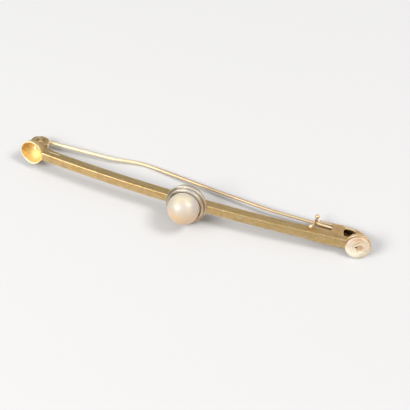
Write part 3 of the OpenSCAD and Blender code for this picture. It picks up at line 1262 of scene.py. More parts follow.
@dataclass
class FoldedBar(CupMaker):
    """The bar, folded from sheet with its open side at the back."""

    ridge: float = 0.16
    lower_edge: float = 0.09
    back_edge: float = 0.07
    fitted_len: float = 5.0
    eye_from: float = 27.2
    flange_cut: float = 1.15
    low_w: float = 0.26
    low_from: Pair = (19.5, 25.5)
    uneven: float = 0.012
    stations: int = 280

    def section(self) -> Outline:
        """Returns the section, as depth and height."""
        half, inner = self.stock.width / 2, self.stock.inner
        return rounded([
            (0, -half, self.lower_edge), (0, half, self.ridge), (self.stock.depth, half, self.back_edge),
            (self.stock.depth, inner, self.back_edge), (self.stock.sheet, inner, 0.05),
            (self.stock.sheet, -inner, 0.05),
            (self.stock.depth, -inner, self.back_edge), (self.stock.depth, -half, self.back_edge)], 5)

    def build(self) -> bpy.types.Object:
        """Builds the bar between the walls of the two cups.

        Returns:
            The piece.
        """
        section = np.array(self.section())
        end = self.arch.half_length
        reach = self.bowl.reach(section[:, 0], section[:, 1])
        rows = []
        for length in np.linspace(-end, end, self.stations):
            share = smooth_step(abs(length), end - self.fitted_len, end)
            here = section.copy()
            if length > self.eye_from:
                back = (here[:, 1] > 0) & (here[:, 0] > self.stock.depth / 2)
                here[:, 0] = np.where(back, here[:, 0] - (self.stock.depth - self.flange_cut), here[:, 0])
            here[:, 1] -= np.where(here[:, 1] < 0, self.low_w * smooth_step(length, *self.low_from), 0)
            rows.append(np.column_stack([length - np.sign(length) * share * reach, here]))
        shell = Shell("bar")
        shell.add_grid(np.array(rows), self.arch.bend)
        shell.shift(self.wander)
        inner = self.stock.inner
        # Tarnish and painted shade on the inner faces of the folded sheet, behind its front.
        dirt = lambda p: 0.8 * within(np.abs(p[:, 2]), inner + 0.05, 0.05) * smooth_step(p[:, 1], 0.4, 0.9)
        return self.make(shell, self.palette.bar_gold, dirt=dirt)

    def wander(self, points: np.ndarray) -> np.ndarray:
        """Moves the sheet's faces a hair off true, as folding by hand leaves them."""
        off = np.column_stack([np.zeros(len(points)), ripple(points, 2.2, 3.0), ripple(points, 3.1, 9.0)])
        return points + self.uneven * off


@dataclass
class EndCup(CupMaker):
    """A round cup for a small pearl, with its peg."""

    side: Side
    lip_w: float = 0.24
    lip_h: float = 0.05
    peg_r: float = 0.28
    stub_len: float = 0.95
    stub_lean: float = 22.0
    stub_foot: Pair = (0.03, 0.1)
    worn_peg_x: float = -0.25
    worn_peg_top: float = -0.15
    steps: int = 160
    outer_rows: int = 30
    dents: tuple[Place, ...] = ((233, 24, -0.12), (312, 22, -0.09), (276, 12, 0.03))

    def profile(self) -> Outline:
        """Returns the bowl's profile as radius and depth, from its back to its hollow."""
        ball, ahead = self.bowl.ball_r, self.bowl.ahead
        inner = ball - self.bowl.wall
        outside = [(ball * math.sin(t), ball * math.cos(t) - ahead)
                   for t in np.linspace(0, math.acos((ahead + 0.03) / ball), self.outer_rows)]
        lip = [(self.bowl.radius - self.lip_w * (1 - math.cos(t)) / 2, -self.lip_h * math.sin(t))
               for t in np.linspace(0.05, math.pi - 0.05, 12)]
        inside = []
        for t in np.linspace(math.acos((ahead + 0.06) / inner), 0, 34):
            depth = inner * math.cos(t) - ahead
            thick = (self.lip_w - self.bowl.wall) * float(smooth_step(-depth, -0.5, 0.0))
            inside.append((max(inner * math.sin(t) - thick, 0.0), depth))
        return outside + lip + inside

    def swell(self, turns: np.ndarray, depth: np.ndarray) -> np.ndarray:
        """Returns how the hand-cut rim departs from a circle."""
        near_rim = smooth_step(-depth, -1.1, 0.0)
        wave = 0.012 * np.cos(3 * turns + 1.1) + 0.01 * np.cos(7 * turns + 0.4)
        if self.side is Side.HINGE:
            for angle, width, rise in self.dents:
                wave = wave + rise * bell(turns, angle, width)
        return near_rim * wave

    def hammered(self, points: np.ndarray) -> np.ndarray:
        """Dents the hollow a little, and runs the lip flat into the bar's front."""
        points = points.copy()
        reach = np.hypot(points[:, 0], points[:, 2])
        bar_way = -self.side.value * points[:, 0] / np.maximum(reach, 0.01)
        joined = smooth_step(bar_way, 0.9, 0.96)
        points[:, 1] = np.where(points[:, 1] < 0, points[:, 1] * (1 - 0.9 * joined), points[:, 1])
        middle = np.array([0, -self.bowl.ahead, 0])
        away = points - middle
        length = np.linalg.norm(away, axis=1)
        inside = within(length, self.bowl.ball_r - self.bowl.wall * 0.5, 0.05)
        bumps = ripple(points, 1.3, 5.0 + self.side.value) * 0.035 + ripple(points, 0.4, 2.0) * 0.006
        return middle + away * (1 + inside * (bumps - 0.01) / np.maximum(length, 0.2))[:, None]

    def peg(self) -> tuple[np.ndarray, np.ndarray]:
        """Returns the two ends of the peg's axis round the cup's axis."""
        floor = self.bowl.depth - self.bowl.wall
        if self.side is Side.HINGE:
            lean = math.radians(self.stub_lean)
            root = np.array([self.stub_foot[0], floor - 0.02, self.stub_foot[1]])
            return root, root + self.stub_len * np.array([0, -math.cos(lean), math.sin(lean)])
        return np.array([self.worn_peg_x, floor, 0.0]), np.array([self.worn_peg_x, self.worn_peg_top, 0.0])

    def build(self) -> list[bpy.types.Object]:
        """Builds the bowl and the peg.

        Returns:
            The pieces.
        """
        label = self.side.name.lower()
        shell = Shell(f"{label}_cup")
        rows = lathe(self.profile(), self.steps, self.swell)
        shell.add_grid(rows, lambda p: self.arch.at_end(self.hammered(p), self.side), capped=False)
        # Painted light: the lip and the hollow take the cup's lit colour for the inside.
        shell.extra = {LIT_LINING: np.repeat(np.arange(len(rows)) >= self.outer_rows, self.steps).astype(float)}
        turn = lambda p: self.arch.at_end(p, self.side)
        middle, _ = self.cup_wall(self.side, 0.0)

        def dirt(points: np.ndarray) -> np.ndarray:
            """Paints shade on the side of the hollow that is away from the bar, and darkens a patch of dirt
            beside the ear.
            """
            away = points - middle
            inside = within(np.linalg.norm(away, axis=1), self.bowl.ball_r - self.bowl.wall * 0.5, 0.05)
            far = smooth_step(self.side.value * away[:, 0], 0.1, 1.6) * smooth_step(away[:, 2], -1.1, 0.3)
            near = smooth_step(-self.side.value * away[:, 0], 0.4, 1.0) * smooth_step(away[:, 2], -0.5, 0.5)
            return inside * (0.6 * far + 0.5 * near)

        def polish(points: np.ndarray) -> np.ndarray:
            """Rubs the lip bright away from the bar, and paints a highlight on the wall at the low side."""
            away = points - middle
            behind = self.arch.behind_rim(points, self.side)
            bar_way = -self.side.value * away[:, 0] / np.maximum(np.hypot(away[:, 0], away[:, 2]), 0.01)
            lip = smooth_step(-behind, -0.04, 0.02) * (1 - smooth_step(bar_way, 0.6, 0.93))
            lip = lip * (1 - 0.45 * smooth_step(-bar_way, 0.2, 0.9) * smooth_step(away[:, 2], -1.2, 0.2))
            low = smooth_step(-away[:, 2], 1.2, 1.9) * smooth_step(-behind, -0.6, -0.1)
            return 0.9 * np.maximum(0.65 * lip, low)

        finish = self.palette.cup_gold if self.side is Side.HINGE else self.palette.plate_gold
        cup = self.make(shell, finish, dirt=dirt, polish=polish)
        root, top = self.peg()
        length = float(np.linalg.norm(top - root))
        profile = [(0, 0), (self.peg_r * 1.4, 0), (self.peg_r * 1.15, 0.08), (self.peg_r, 0.2),
                   (self.peg_r * 0.97, length - 0.1), (self.peg_r * 0.8, length - 0.02), (0, length)]
        post = Shell(f"{label}_peg")
        post.add_turned(profile, 32, root, top, turn)
        post.shift(lambda p: p + ripple(p, 0.3, 7.0)[:, None] * [0.02, 0.02, 0.02])
        made = post.build(self.axes, self.palette.of(self.palette.wire_gold))
        return [cup, finish_piece(made, "frame", "bar_frame")]


@dataclass
class HingeEars(CupMaker):
    """The two round-ended ears that hold the pin's rivet."""

    rivet: Pair
    radius: float = 1.6
    heel: float = 0.1
    length: float = 5.2
    shoulder: float = 2.15
    step: float = 0.3
    foot_front: float = 1.2
    notch_in: float = 0.35
    notch_up: float = 0.8
    notch_r: float = 0.45
    proud: float = 0.02
    edge: float = 0.05

    def notch(self) -> Pair:
        """Returns the centre of the small notch in the flank."""
        step = -self.arch.half + self.shoulder
        return step - self.notch_in, self.arch.front(step) + self.stock.depth + self.notch_up

    def outline(self) -> Outline:
        """Returns the outline of an ear, in x and y."""
        x, y = self.rivet
        flank, step = -self.arch.half + self.length, -self.arch.half + self.shoulder
        top = np.array([x + self.radius - self.heel, y])
        low = np.array([step, self.arch.front(step) + self.stock.depth + self.step])
        way = (low - top) / np.linalg.norm(low - top)
        out = np.array([-way[1], way[0]])
        bite = np.array(self.notch())
        inside = float((top - bite) @ out)
        lean = math.degrees(math.atan2(out[1], out[0]))
        open_half = math.degrees(math.acos(inside / self.notch_r))
        line = arc((x, y), self.radius, 180, 4, 36) + [tuple(top)]
        line += arc(tuple(bite), self.notch_r, lean + open_half, lean + 360 - open_half, 18)
        foot = self.arch.front(flank) + self.stock.depth
        line += [tuple(low - way * 0.25), (float(low[0]) + 0.1, float(low[1]) - 0.06), (flank, foot - 0.02),
                 (flank, self.arch.front(flank) + self.foot_front)]
        cup, reach = self.cup_wall(Side.HINGE, self.stock.width / 2)
        foot = self.arch.front(cup[0] + reach) + self.foot_front - cup[1]
        low_right = math.degrees(math.asin(foot / reach))
        left = math.degrees(math.acos(max((x - self.radius - cup[0]) / reach, -1)))
        return line + arc((cup[0], cup[1]), reach, low_right, left, 20)

    def build(self) -> bpy.types.Object:
        """Builds both ears.

        Returns:
            The piece.
        """
        shell = Shell("hinge_ears")
        half = self.stock.width / 2
        shell.add(*plate(self.outline(), [], -half - self.proud, -half + self.stock.sheet, self.edge))
        shell.add(*plate(self.outline(), [], half - self.stock.sheet, half + self.proud, self.edge))
        inner = half - self.stock.sheet
        # Painted shade and dirt on the inner faces of the ears, between the plates.
        dirt = lambda p: 0.9 * smooth_step(inner + 0.04 - np.abs(p[:, 2]), 0, 0.03)
        return self.make(shell, self.palette.ear_gold, dirt=dirt)


@dataclass
class CatchPlates(CupMaker):
    """The two plates behind the catch end, the upper one pierced, with what joins them."""

    start: float
    depth: float = 4.4
    end_in: float = 2.5
    end_r: float = 4.6
    wall_lap: float = 0.95
    wall_front: float = 0.6
    under: float = 0.008
    edge: float = 0.05
    worn_edge: float = 0.11
    window_len: float = 2.55
    window_front: float = 3.42
    window_back: float = 5.05
    block_len: float = 1.5
    block_from: float = 2.85

    @property
    def end_x(self) -> float:
        """Returns the place where the round end starts."""
        return self.arch.half - self.end_in

    @property
    def end_turn(self) -> float:
        """Returns the turn of the arch there, in radians."""
        return math.asin(self.end_x / self.arch.radius)

    def round_middle(self) -> Pair:
        """Returns the middle of the round end."""
        depth = self.arch.radius - (self.depth - self.end_r)
        return math.sin(self.end_turn) * depth, self.arch.radius - math.cos(self.end_turn) * depth

    def outline(self, pierced: bool) -> Outline:
        """Returns the outline of a plate, in x and y.

        Args:
            pierced: Whether it has the window, which is open at the near end.

        Returns:
            The outline, cut where the cup's wall passes through it.
        """
        inner_r = self.arch.radius - self.depth
        back = [(x, self.arch.radius - math.sqrt(inner_r**2 - x * x))
                for x in np.linspace(self.start, inner_r * math.sin(self.end_turn), 14)]
        centre = self.round_middle()
        cup, reach = self.cup_wall(Side.CATCH, self.stock.width / 2)
        gap = math.hypot(cup[0] - centre[0], cup[1] - centre[1])
        way = math.atan2(cup[1] - centre[1], cup[0] - centre[0])
        meet = way + math.acos((self.end_r**2 - reach**2 - gap**2) / (2 * reach * gap))
        touch = cup[0] + reach * math.cos(meet), cup[1] + reach * math.sin(meet)
        last = math.degrees(math.atan2(touch[1] - centre[1], touch[0] - centre[0]))
        tail = arc(centre, self.end_r, 90 + math.degrees(self.end_turn), last, 34)
        bowl = arc((cup[0], cup[1]), reach, math.degrees(meet), 178, 24)
        front = [(x, self.arch.front(x) + 0.3) for x in np.linspace(bowl[-1][0] - 0.1, self.start, 14)]
        line = back + tail[1:] + bowl[1:] + front
        if pierced:
            right = self.start + self.window_len
            line += rounded([(self.start, self.window_front, 0.0), (right, self.window_front, 0.3),
                             (right, self.window_back, 0.25), (self.start, self.window_back, 0.0)], 5)
        return line

    def eye(self) -> Outline:
        """Returns the eye-shaped opening, in x and y."""
        corners = [(-0.55, 4.35, 0.3), (-0.4, 5.15, 0.35), (0.9, 5.25, 0.6), (1.75, 4.75, 0.2),
                   (1.1, 4.25, 0.3), (0.45, 2.95, 0.25), (-0.25, 2.95, 0.2), (-0.4, 3.6, 0.3)]
        return rounded([(self.end_x + x, y, r) for x, y, r in corners], 5)

    def end_wall(self) -> bpy.types.Object:
        """Builds the wall that closes the round end between the plates.

        Returns:
            The piece.
        """
        inner_r = self.end_r - self.stock.sheet
        turn = math.degrees(self.end_turn)
        angles = [math.degrees(a) + turn for a in (
            math.acos(-self.wall_lap / self.end_r), math.asin(self.wall_front / self.end_r),
            math.asin(self.wall_front / inner_r), math.acos(-self.wall_lap / inner_r))]
        centre = self.round_middle()
        line = arc(centre, self.end_r - 0.01, *angles[:2], 40) + arc(centre, inner_r, *angles[2:], 40)
        shell = Shell("catch_end_wall")
        half = self.stock.inner + 0.05
        shell.add(*plate(line, [], -half, half, 0.02))
        middle = np.array(centre)
        # Painted shade and dirt on the inner side of the wall.
        dirt = lambda p: smooth_step(inner_r + 0.15 - np.linalg.norm(p[:, :2] - middle, axis=1), 0, 0.05)
        return self.make(shell, self.palette.plate_gold, dirt=dirt)

    def build(self) -> list[bpy.types.Object]:
        """Builds both plates, the wall and the block between them.

        Returns:
            The pieces.
        """
        shell = Shell("catch_plates")
        half = self.stock.width / 2 - self.under
        inner = self.stock.inner
        shell.add(*plate(self.outline(False), [], -half, -inner, self.edge))
        shell.add(*plate(self.outline(True), [self.eye()], inner, half, self.worn_edge))
        opened = ((self.start - 0.1, self.window_front - 0.1, self.start + self.window_len + 0.1,
                   self.window_back + 0.1), (self.end_x - 0.65, 2.85, self.end_x + 1.85, 5.35))

        def dirt(points: np.ndarray) -> np.ndarray:
            """Paints shade and dirt on the inner sides of the sheet and the walls of its openings."""
            x, y, z = points.T
            wall = sum((x > left) & (x < right) & (y > low) & (y < high) for left, low, right, high in opened)
            walls = wall * smooth_step(half - 0.04 - z, 0, 0.05) * (z > 0)
            return np.maximum(smooth_step(inner + 0.04 - np.abs(z), 0, 0.03), walls)

        plates = self.make(shell, self.palette.plate_gold, dirt=dirt)
        left = self.start + self.block_from
        right = left + self.block_len
        front, back = self.arch.front(left) + 2.9, self.arch.front(left) + self.depth - 0.12
        block = Shell("catch_block")
        line = rounded([(left, front, 0.1), (right, front, 0.1), (right, back + 0.2, 0.15),
                        (left, back, 0.15)])
        # The block between the plates takes painted shade and dirt all over.
        block.add(*plate(line, [], -inner - 0.02, inner + 0.02, 0.03), hollow=0.7)
        made = self.make(block, self.palette.plate_gold)
        return [plates, self.end_wall(), made]


# The centre setting


@dataclass
class CentreSetting(Maker):
    """The stepped white bezel, the gold dish behind it, and the pearl."""

    pearl_r: float = 2.84
    pearl_ahead: float = 1.6
    lip_gap: float = 0.03
    lip_wall: float = 0.47
    step_out: float = 0.36
    lip_ahead: float = 0.85
    step_ahead: float = 0.25
    back: float = 0.5
    groove_w: float = 0.1
    groove_d: float = 0.12
    flat_above: float = 0.2
    low_right: float = 0.12
    pearl_show: float = 0.025
    dish_wall: float = 0.35
    steps: int = 160

    def bezel(self) -> bpy.types.Object:
        """Builds the bezel, an upper lip inside a lower step.

        Returns:
            The piece.
        """
        hole = self.pearl_r + self.lip_gap
        lip = hole + self.lip_wall
        outer = lip + self.step_out
        profile = rounded([
            (hole, self.back, 0.03), (hole, -self.lip_ahead, 0.1), (lip, -self.lip_ahead, 0.12),
            (lip, self.groove_d - self.step_ahead, 0.03),
            (lip + self.groove_w, self.groove_d - self.step_ahead, 0.03),
            (lip + self.groove_w, -self.step_ahead, 0.05), (outer, -self.step_ahead, 0.1),
            (outer, self.back, 0.05)], 5)
        shell = Shell("bezel_ring")

        def swell(turns: np.ndarray, depth: np.ndarray) -> np.ndarray:
            """Leaves the ring out of round, flatter above and fuller at the low right."""
            above = smooth_step(np.sin(turns), -0.2, 0.6) * smooth_step(depth, -0.1, self.back)
            wave = 0.02 * np.cos(2 * turns + 0.6) + 0.012 * np.cos(5 * turns)
            return (wave - 0.02 * smooth_step(-depth, 0.2, 0.9) - self.flat_above * above
                    + self.low_right * bell(turns, 315, 40))

        shell.add_grid(lathe(profile, self.steps, swell), ring_of_rows=True)
        reach = lambda p: np.hypot(p[:, 0], p[:, 2])
        # Dirt and painted shade in the groove, and painted shade on the bore beside the pearl.
        dirt = lambda p: np.clip(
            0.25 * smooth_step(0.09 - np.abs(reach(p) - lip - self.groove_w / 2), 0, 0.06)
            * smooth_step(p[:, 1], -0.24, -0.14)
            + 0.9 * smooth_step(hole + 0.03 - reach(p), 0, 0.03) * smooth_step(p[:, 1], -0.6, -0.25), 0, 1)
        return self.make(shell, self.palette.white_metal, "bezel", dirt=dirt)

    def dish(self) -> bpy.types.Object:
        """Builds the gold dish that carries the bezel and the pearl.

        Returns:
            The piece.
        """
        seat_r = self.pearl_r + 0.1
        outer_r = seat_r + self.dish_wall
        flange_r = self.pearl_r + self.lip_gap + self.lip_wall + self.step_out - 0.3
        front = self.back + 0.03
        flange_back = front + 0.4
        inner_start = math.acos((front + self.pearl_ahead) / seat_r)
        outer_start = math.acos((flange_back + self.pearl_ahead) / outer_r)
        profile = [(0.0, seat_r - self.pearl_ahead)]
        profile += [(seat_r * math.sin(t), seat_r * math.cos(t) - self.pearl_ahead)
                    for t in np.linspace(0.08, inner_start, 18)]
        profile += rounded([(flange_r - 0.2, front, 0.0), (flange_r, front, 0.08),
                            (flange_r, flange_back, 0.12),
                            (outer_r * math.sin(outer_start), flange_back, 0.05)])[:-1]
        profile += [(outer_r * math.sin(t), outer_r * math.cos(t) - self.pearl_ahead)
                    for t in np.linspace(outer_start, 0.0, 18)]
        shell = Shell("centre_seat")
        shell.add_grid(lathe(profile, 96), capped=False)
        return self.make(shell, self.palette.bar_gold, dirt=lambda p: np.full(len(p), 0.25))

    def pearl(self) -> bpy.types.Object:
        """Builds the centre pearl, nearly round.

        Returns:
            The piece.
        """
        turns = np.linspace(0, math.pi, 72)
        radius = self.pearl_r + self.pearl_show
        profile = [(radius * math.sin(t), -radius * math.cos(t)) for t in turns]
        rows = lathe(profile, 128)

        def settle(points: np.ndarray) -> np.ndarray:
            """Gives the pearl its faint flats and moves it to its seat."""
            uneven = 1 + (ripple(points, 2.4, 4.0) * 0.006 - 0.004)
            return points * uneven[:, None] + np.array([0, -self.pearl_ahead, 0])

        shell = Shell("centre_pearl_bead")
        shell.add_grid(rows, settle, capped=False)
        return self.make(shell, self.palette.nacre, "centre_pearl")

    def build(self) -> list[bpy.types.Object]:
        """Builds the whole setting.

        Returns:
            The pieces.
        """
        return [self.dish(), self.bezel(), self.pearl()]


@dataclass
class WornPearl(CupMaker):
    """What is left of the pearl in the catch end's cup, worn low and broken open."""

    radius: float = 2.2
    gap: float = 0.06
    front: float = 0.62
    side: float = 0.2
    over: float = 0.055
    shrunk: float = 0.24
    peg: Pair = (-0.25, 0.03)
    core: Pair = (0.4, 0.02)
    core_size: Pair = (0.64, 0.78)
    low_swell: float = 0.2
    chip: float = 0.12
    ring_pitch: float = 0.34
    split: tuple[Pair, Pair] = ((-0.62, 0.42), (0.05, 1.0))
    bright: Pair = (1.02, 0.56)
    rows: int = 100
    steps: int = 176

    def rim(self, turns: np.ndarray) -> np.ndarray:
        """Returns the outline's radius at each angle, smaller at the upper left."""
        wave = 0.015 * np.cos(5 * turns + 0.7) + 0.012 * np.cos(9 * turns)
        return (self.radius - 0.02 - self.shrunk * bell(turns, 128, 62) + wave
                - self.chip * bell(turns, 318, 12) + self.low_swell * bell(turns, 268, 42))

    def top(self, x: np.ndarray, z: np.ndarray) -> tuple[np.ndarray, dict[str, np.ndarray]]:
        """Works out the broken top.

        Args:
            x: Places along the bar from the cup's axis.
            z: Places upwards from it.

        Returns:
            The depth of the top, and at each place how bare and gilt it is and how much painted shade darkens
            the peg hole.
        """
        reach = np.hypot(x, z)
        depth = -self.front + (self.front - self.side) * (reach / self.radius) ** 2
        flat = np.column_stack([x, np.zeros_like(x), z])
        rings = (reach + ripple(flat, 0.9, 3.0) * 0.22) * 2 * math.pi / self.ring_pitch
        ridges = np.sin(rings) * 0.012 * smooth_step(reach, 0.5, 1.0)
        depth = depth + ripple(flat, 0.8, 1.0) * 0.05 + ripple(flat, 0.3, 6.0) * 0.025 + ridges
        away = np.hypot((x - self.core[0]) / self.core_size[0], (z - self.core[1]) / self.core_size[1])
        crater = smooth_step(-away + ripple(flat, 0.35, 12.0) * 0.18, -1.0, -0.55)
        hole = smooth_step(-np.hypot(x - self.peg[0], z - self.peg[1]), -0.24, -0.14)
        start, end = (np.array(p) for p in self.split)
        way = end - start
        along = np.clip(((x - start[0]) * way[0] + (z - start[1]) * way[1]) / (way @ way), 0, 1)
        gap = np.hypot(x - start[0] - along * way[0], z - start[1] - along * way[1])
        cleft = smooth_step(-gap, -0.17, -0.05)
        bump = smooth_step(-np.hypot((x - self.bright[0]) / 0.5, (z - self.bright[1]) / 0.42), -1.0, -0.2)
        depth = depth + 0.22 * crater + 0.5 * hole + 0.1 * cleft - 0.06 * bump
        low_right = smooth_step(x - 0.9 * z, 1.5, 2.4) * smooth_step(-z, -0.3, 0.5)
        # brow darkens the upper left towards tan.
        brow = smooth_step(z, 0.7, 1.9) * smooth_step(0.6 - x, -0.6, 0.6)
        rind = smooth_step(-away, -1.25, -0.9) * smooth_step(-x, -0.5, 0.1)
        marks = {HOLLOW: 0.9 * crater + 0.45 * low_right + brow - 0.5 * bump, HOLE_SHADE: hole,
                 GILT: 0.75 * cleft + 0.5 * rind}
        return depth, {name: np.clip(values, 0, 1) for name, values in marks.items()}

    def build(self) -> bpy.types.Object:
        """Builds the worn pearl round the peg.

        Returns:
            The piece.
        """
        turns = np.linspace(0, 2 * math.pi, self.steps, endpoint=False)
        rim = self.rim(turns)
        rows, reaches = [], []
        marks: dict[str, list[np.ndarray]] = {HOLLOW: [], HOLE_SHADE: [], GILT: []}
        none = np.zeros(self.steps)
        for share in np.linspace(0.001, 1, self.rows):
            x, z = np.cos(turns) * rim * share, np.sin(turns) * rim * share
            depth, masks = self.top(x, z)
            edge = smooth_step(share, 0.9, 1.0) ** 2
            rows.append(np.column_stack([x, depth * (1 - edge) - 0.12 * edge, z]))
            reaches.append(np.hypot(x, z))
            for name, values in masks.items():
                marks[name].append(values * (1 - edge))
        ball, ahead = self.bowl.ball_r - self.bowl.wall - self.gap, self.bowl.ahead
        under = [(rim - 0.03, -self.over)]
        under += [(np.minimum(math.sqrt(ball**2 - (depth + ahead) ** 2), rim - 0.06), depth)
                  for depth in np.linspace(0.03, ball - ahead - 0.01, 24)]
        for reach, depth in under:
            rows.append(np.column_stack([np.cos(turns) * reach, np.full(self.steps, depth),
                                         np.sin(turns) * reach]))
            reaches.append(np.full(self.steps, self.radius))
            for values in marks.values():
                values.append(none)
        shell = Shell("worn_pearl_bead")
        shell.add_grid(np.array(rows), lambda p: self.arch.at_end(p, Side.CATCH))
        shell.hollow = [np.concatenate(marks.pop(HOLLOW))]
        shell.extra = {name: np.concatenate(values) for name, values in marks.items()}
        shell.extra[LAYER] = np.concatenate(reaches)
        return self.make(shell, self.palette.worn_nacre, "end_pearl", sharp=70)


# What moves


@dataclass
class Rivet(Maker):
    """The rivet of the hinge, with a domed head on each side."""

    place: Pair
    shank_r: float = 0.35
    head_r: float = 0.58
    head_h: float = 0.18
    seat: float = 0.77

    def build(self, tree: bpy.types.NodeTree) -> list[bpy.types.Object]:
        """Builds the shank and its two heads.

        Args:
            tree: The node tree that repeats a knob.

        Returns:
            The pieces.
        """
        x, y = self.place
        dome = [(0.0, -0.02), (self.head_r * 0.96, -0.02), (self.head_r, 0.03)]
        dome += [(self.head_r * math.cos(t), 0.05 + (self.head_h - 0.05) * math.sin(t))
                 for t in np.linspace(0.15, math.pi / 2, 12)]
        heads = knobs("rivet_heads", dome, self.axes, tree, self.palette.of(self.palette.ear_gold),
                      [((x, y, self.seat), (1.0, 0, 0)), ((x, y, -self.seat), (-1.0, 0, 0))], [1.0, 1.0])
        shank = Shell("rivet_shank")
        ends = np.array([x, y, -self.seat]), np.array([x, y, self.seat])
        profile = [(0, 0), (self.shank_r, 0), (self.shank_r, 2 * self.seat), (0, 2 * self.seat)]
        shank.add_turned(profile, 40, *ends)
        made = shank.build(self.axes, self.palette.of(self.palette.wire_gold))
        return [finish_piece(piece, "frame", "hinge_rivet") for piece in (heads, made)]


def knobs(name: str, profile: Outline, axes: BroochAxes, tree: bpy.types.NodeTree,
          material: bpy.types.Material, places: Sequence[tuple[Place, Place]],
          sizes: Sequence[float]) -> bpy.types.Object:
    """Sets turned knobs on points.

    Args:
        name: Name of the piece.
        profile: The knob's profile as radius and height, in millimetres.
        axes: The brooch's axes.
        tree: The node tree that repeats a knob.
        material: Its finish.
        places: For each knob its place, and a mark whose first number is 1 up and -1 down.
        sizes: Size of each knob as a share of the profile.

    Returns:
        The piece.
    """
    turned = lathe(profile, 48).reshape(-1, 3)
    rows = np.column_stack([turned[:, 0], -turned[:, 2], turned[:, 1]])
    shell = Shell(name)
    shell.add_grid(rows.reshape(len(profile), 48, 3), capped=False)
    flat = BroochAxes(Vector(), Vector((1, 0, 0)), Vector((0, 1, 0)), Vector((0, 0, 1)))
    one = shell.build(flat, material)
    points = axes.place(np.array([place for place, _ in places]))
    seed = points_mesh(f"{name}_points", points, joined=False)
    up = axes.matrix().to_3x3()
    turns = []
    for _, mark in places:
        lean = up if mark[0] > 0 else up @ Matrix.Rotation(math.pi, 3, "X")
        turns.append(tuple(lean.to_euler("XYZ")))
    set_attribute(seed, KNOB_TURN, np.array(turns))
    set_attribute(seed, KNOB_SIZE, np.array(sizes))
    mesh = grow(name, seed, tree, {"Knob": one, "Metal": material})
    bpy.data.objects.remove(one)
    mesh.materials.clear()
    mesh.materials.append(material)
    set_attribute(mesh, PLACE, axes.measure(mesh))
    mesh.name = name
    piece = put_in_scene(name, mesh)
    return piece


@dataclass
class PinStem(Maker):
    """The pin: a knuckle on the rivet and one drawn wire with a bow, up to its point."""

    rivet: Pair
    catch_y: float
    plate_x: float
    root_r: float = 0.37
    point_r: float = 0.27
    point_len: float = 0.85
    stem_off: float = 1.29
    knuckle_r: float = 1.25
    heel_r: float = 1.69
    knuckle_half: float = 0.42
    sides: int = 28

    def route(self) -> np.ndarray:
        """Returns the points that the wire's middle follows, in x and y."""
        tip = self.plate_x + 1.63
        return np.array([
            (self.rivet[0], self.rivet[1] + self.stem_off), (-17, 7.25), (-15.4, 7.5),
            (-13.2, 8.05), (-12.2, 8.22), (-11.2, 8.3), (-10.2, 8.3), (-9, 8.2), (3, 6.5),
            (tip - 13, 5.5), (tip - 10.5, self.catch_y),
            (tip, self.catch_y)])

    def path(self) -> np.ndarray:
        """Returns the route with its knees bent round, as rows of x, y and z."""
        route = self.route()
        line = [route[0]]
        for before, here, after in zip(route[:-2], route[1:-1], route[2:]):
            near = min(1.1, np.linalg.norm(before - here) / 2, np.linalg.norm(after - here) / 2)
            one = here + (before - here) / np.linalg.norm(before - here) * near
            two = here + (after - here) / np.linalg.norm(after - here) * near
            line += knee(one, here, two, 6)
        line.append(route[-1])
        line.append(route[-1] + np.array([self.point_len, 0]))
        line = np.array(line)
        length = np.concatenate([[0], np.cumsum(np.linalg.norm(np.diff(line, axis=0), axis=1))])
        keep = np.concatenate([[True], np.diff(length) > 1e-4])
        line, length = line[keep], length[keep]
        even = np.unique(np.concatenate([np.arange(0, length[-1], 0.22), length[-1] - self.point_len
                                         * (1 - np.linspace(0, 1, 9))]))
        return np.column_stack([np.interp(even, length, line[:, 0]), np.interp(even, length, line[:, 1]),
                                np.zeros(len(even)), even, length[-1] - even])

    def wire(self, tree: bpy.types.NodeTree) -> bpy.types.Object:
        """Draws the wire along its path.

        Args:
            tree: The node tree that draws a wire.

        Returns:
            The piece.
        """
        path = self.path()
        share = path[:, 3] / path[-1, 3]
        radius = self.root_r + (self.point_r - self.root_r) * share
        left = np.clip(path[:, 4] / self.point_len, 0, 1)
        radius = radius * np.where(left < 1, np.sqrt(np.clip(left, 0.03, 1)), 1)
        radius = radius * (1 + ripple(path[:, :3], 2.6, 8.0) * 0.006)
        middle = path[:, :3] + np.outer(ripple(path[:, :3], 6.0, 2.0) * 0.012, [0, 0.6, 0.6])
        seed = points_mesh("pin_path", self.axes.place(middle), joined=True)
        set_attribute(seed, WIRE_RADIUS, radius * MM)
        material = self.palette.of(self.palette.wire_gold)
        mesh = grow("pin_wire", seed, tree, {"Sides": self.sides, "Metal": material})
        shell = Shell("pin_wire")
        shell.add(self.axes.measure(mesh), [tuple(face.vertices) for face in mesh.polygons])
        bpy.data.meshes.remove(mesh)
        piece = shell.build(self.axes, material, sharp=60)
        return finish_piece(piece, "pin", "pin_stem")

    def knuckle(self) -> bpy.types.Object:
        """Builds the tongue between the ears, with the heel that carries the wire.

        Returns:
            The piece.
        """
        line = []
        for turn in np.linspace(0, 360, 96, endpoint=False):
            rise = smooth_step(turn, -18, 6) * smooth_step(-turn, -104, -84)
            reach = self.knuckle_r + (self.heel_r - self.knuckle_r) * float(rise)
            line.append((self.rivet[0] + reach * math.cos(math.radians(turn)),
                         self.rivet[1] + reach * math.sin(math.radians(turn))))
        shell = Shell("pin_knuckle")
        shell.add(*plate(line, [], -self.knuckle_half, self.knuckle_half, 0.07))
        # Painted shade on the knuckle's rim, between the ears.
        return self.make(shell, self.palette.wire_gold, "pin_stem", "pin",
                         dirt=lambda p: 0.45 * smooth_step(0.4 - np.abs(p[:, 2]), 0, 0.05))


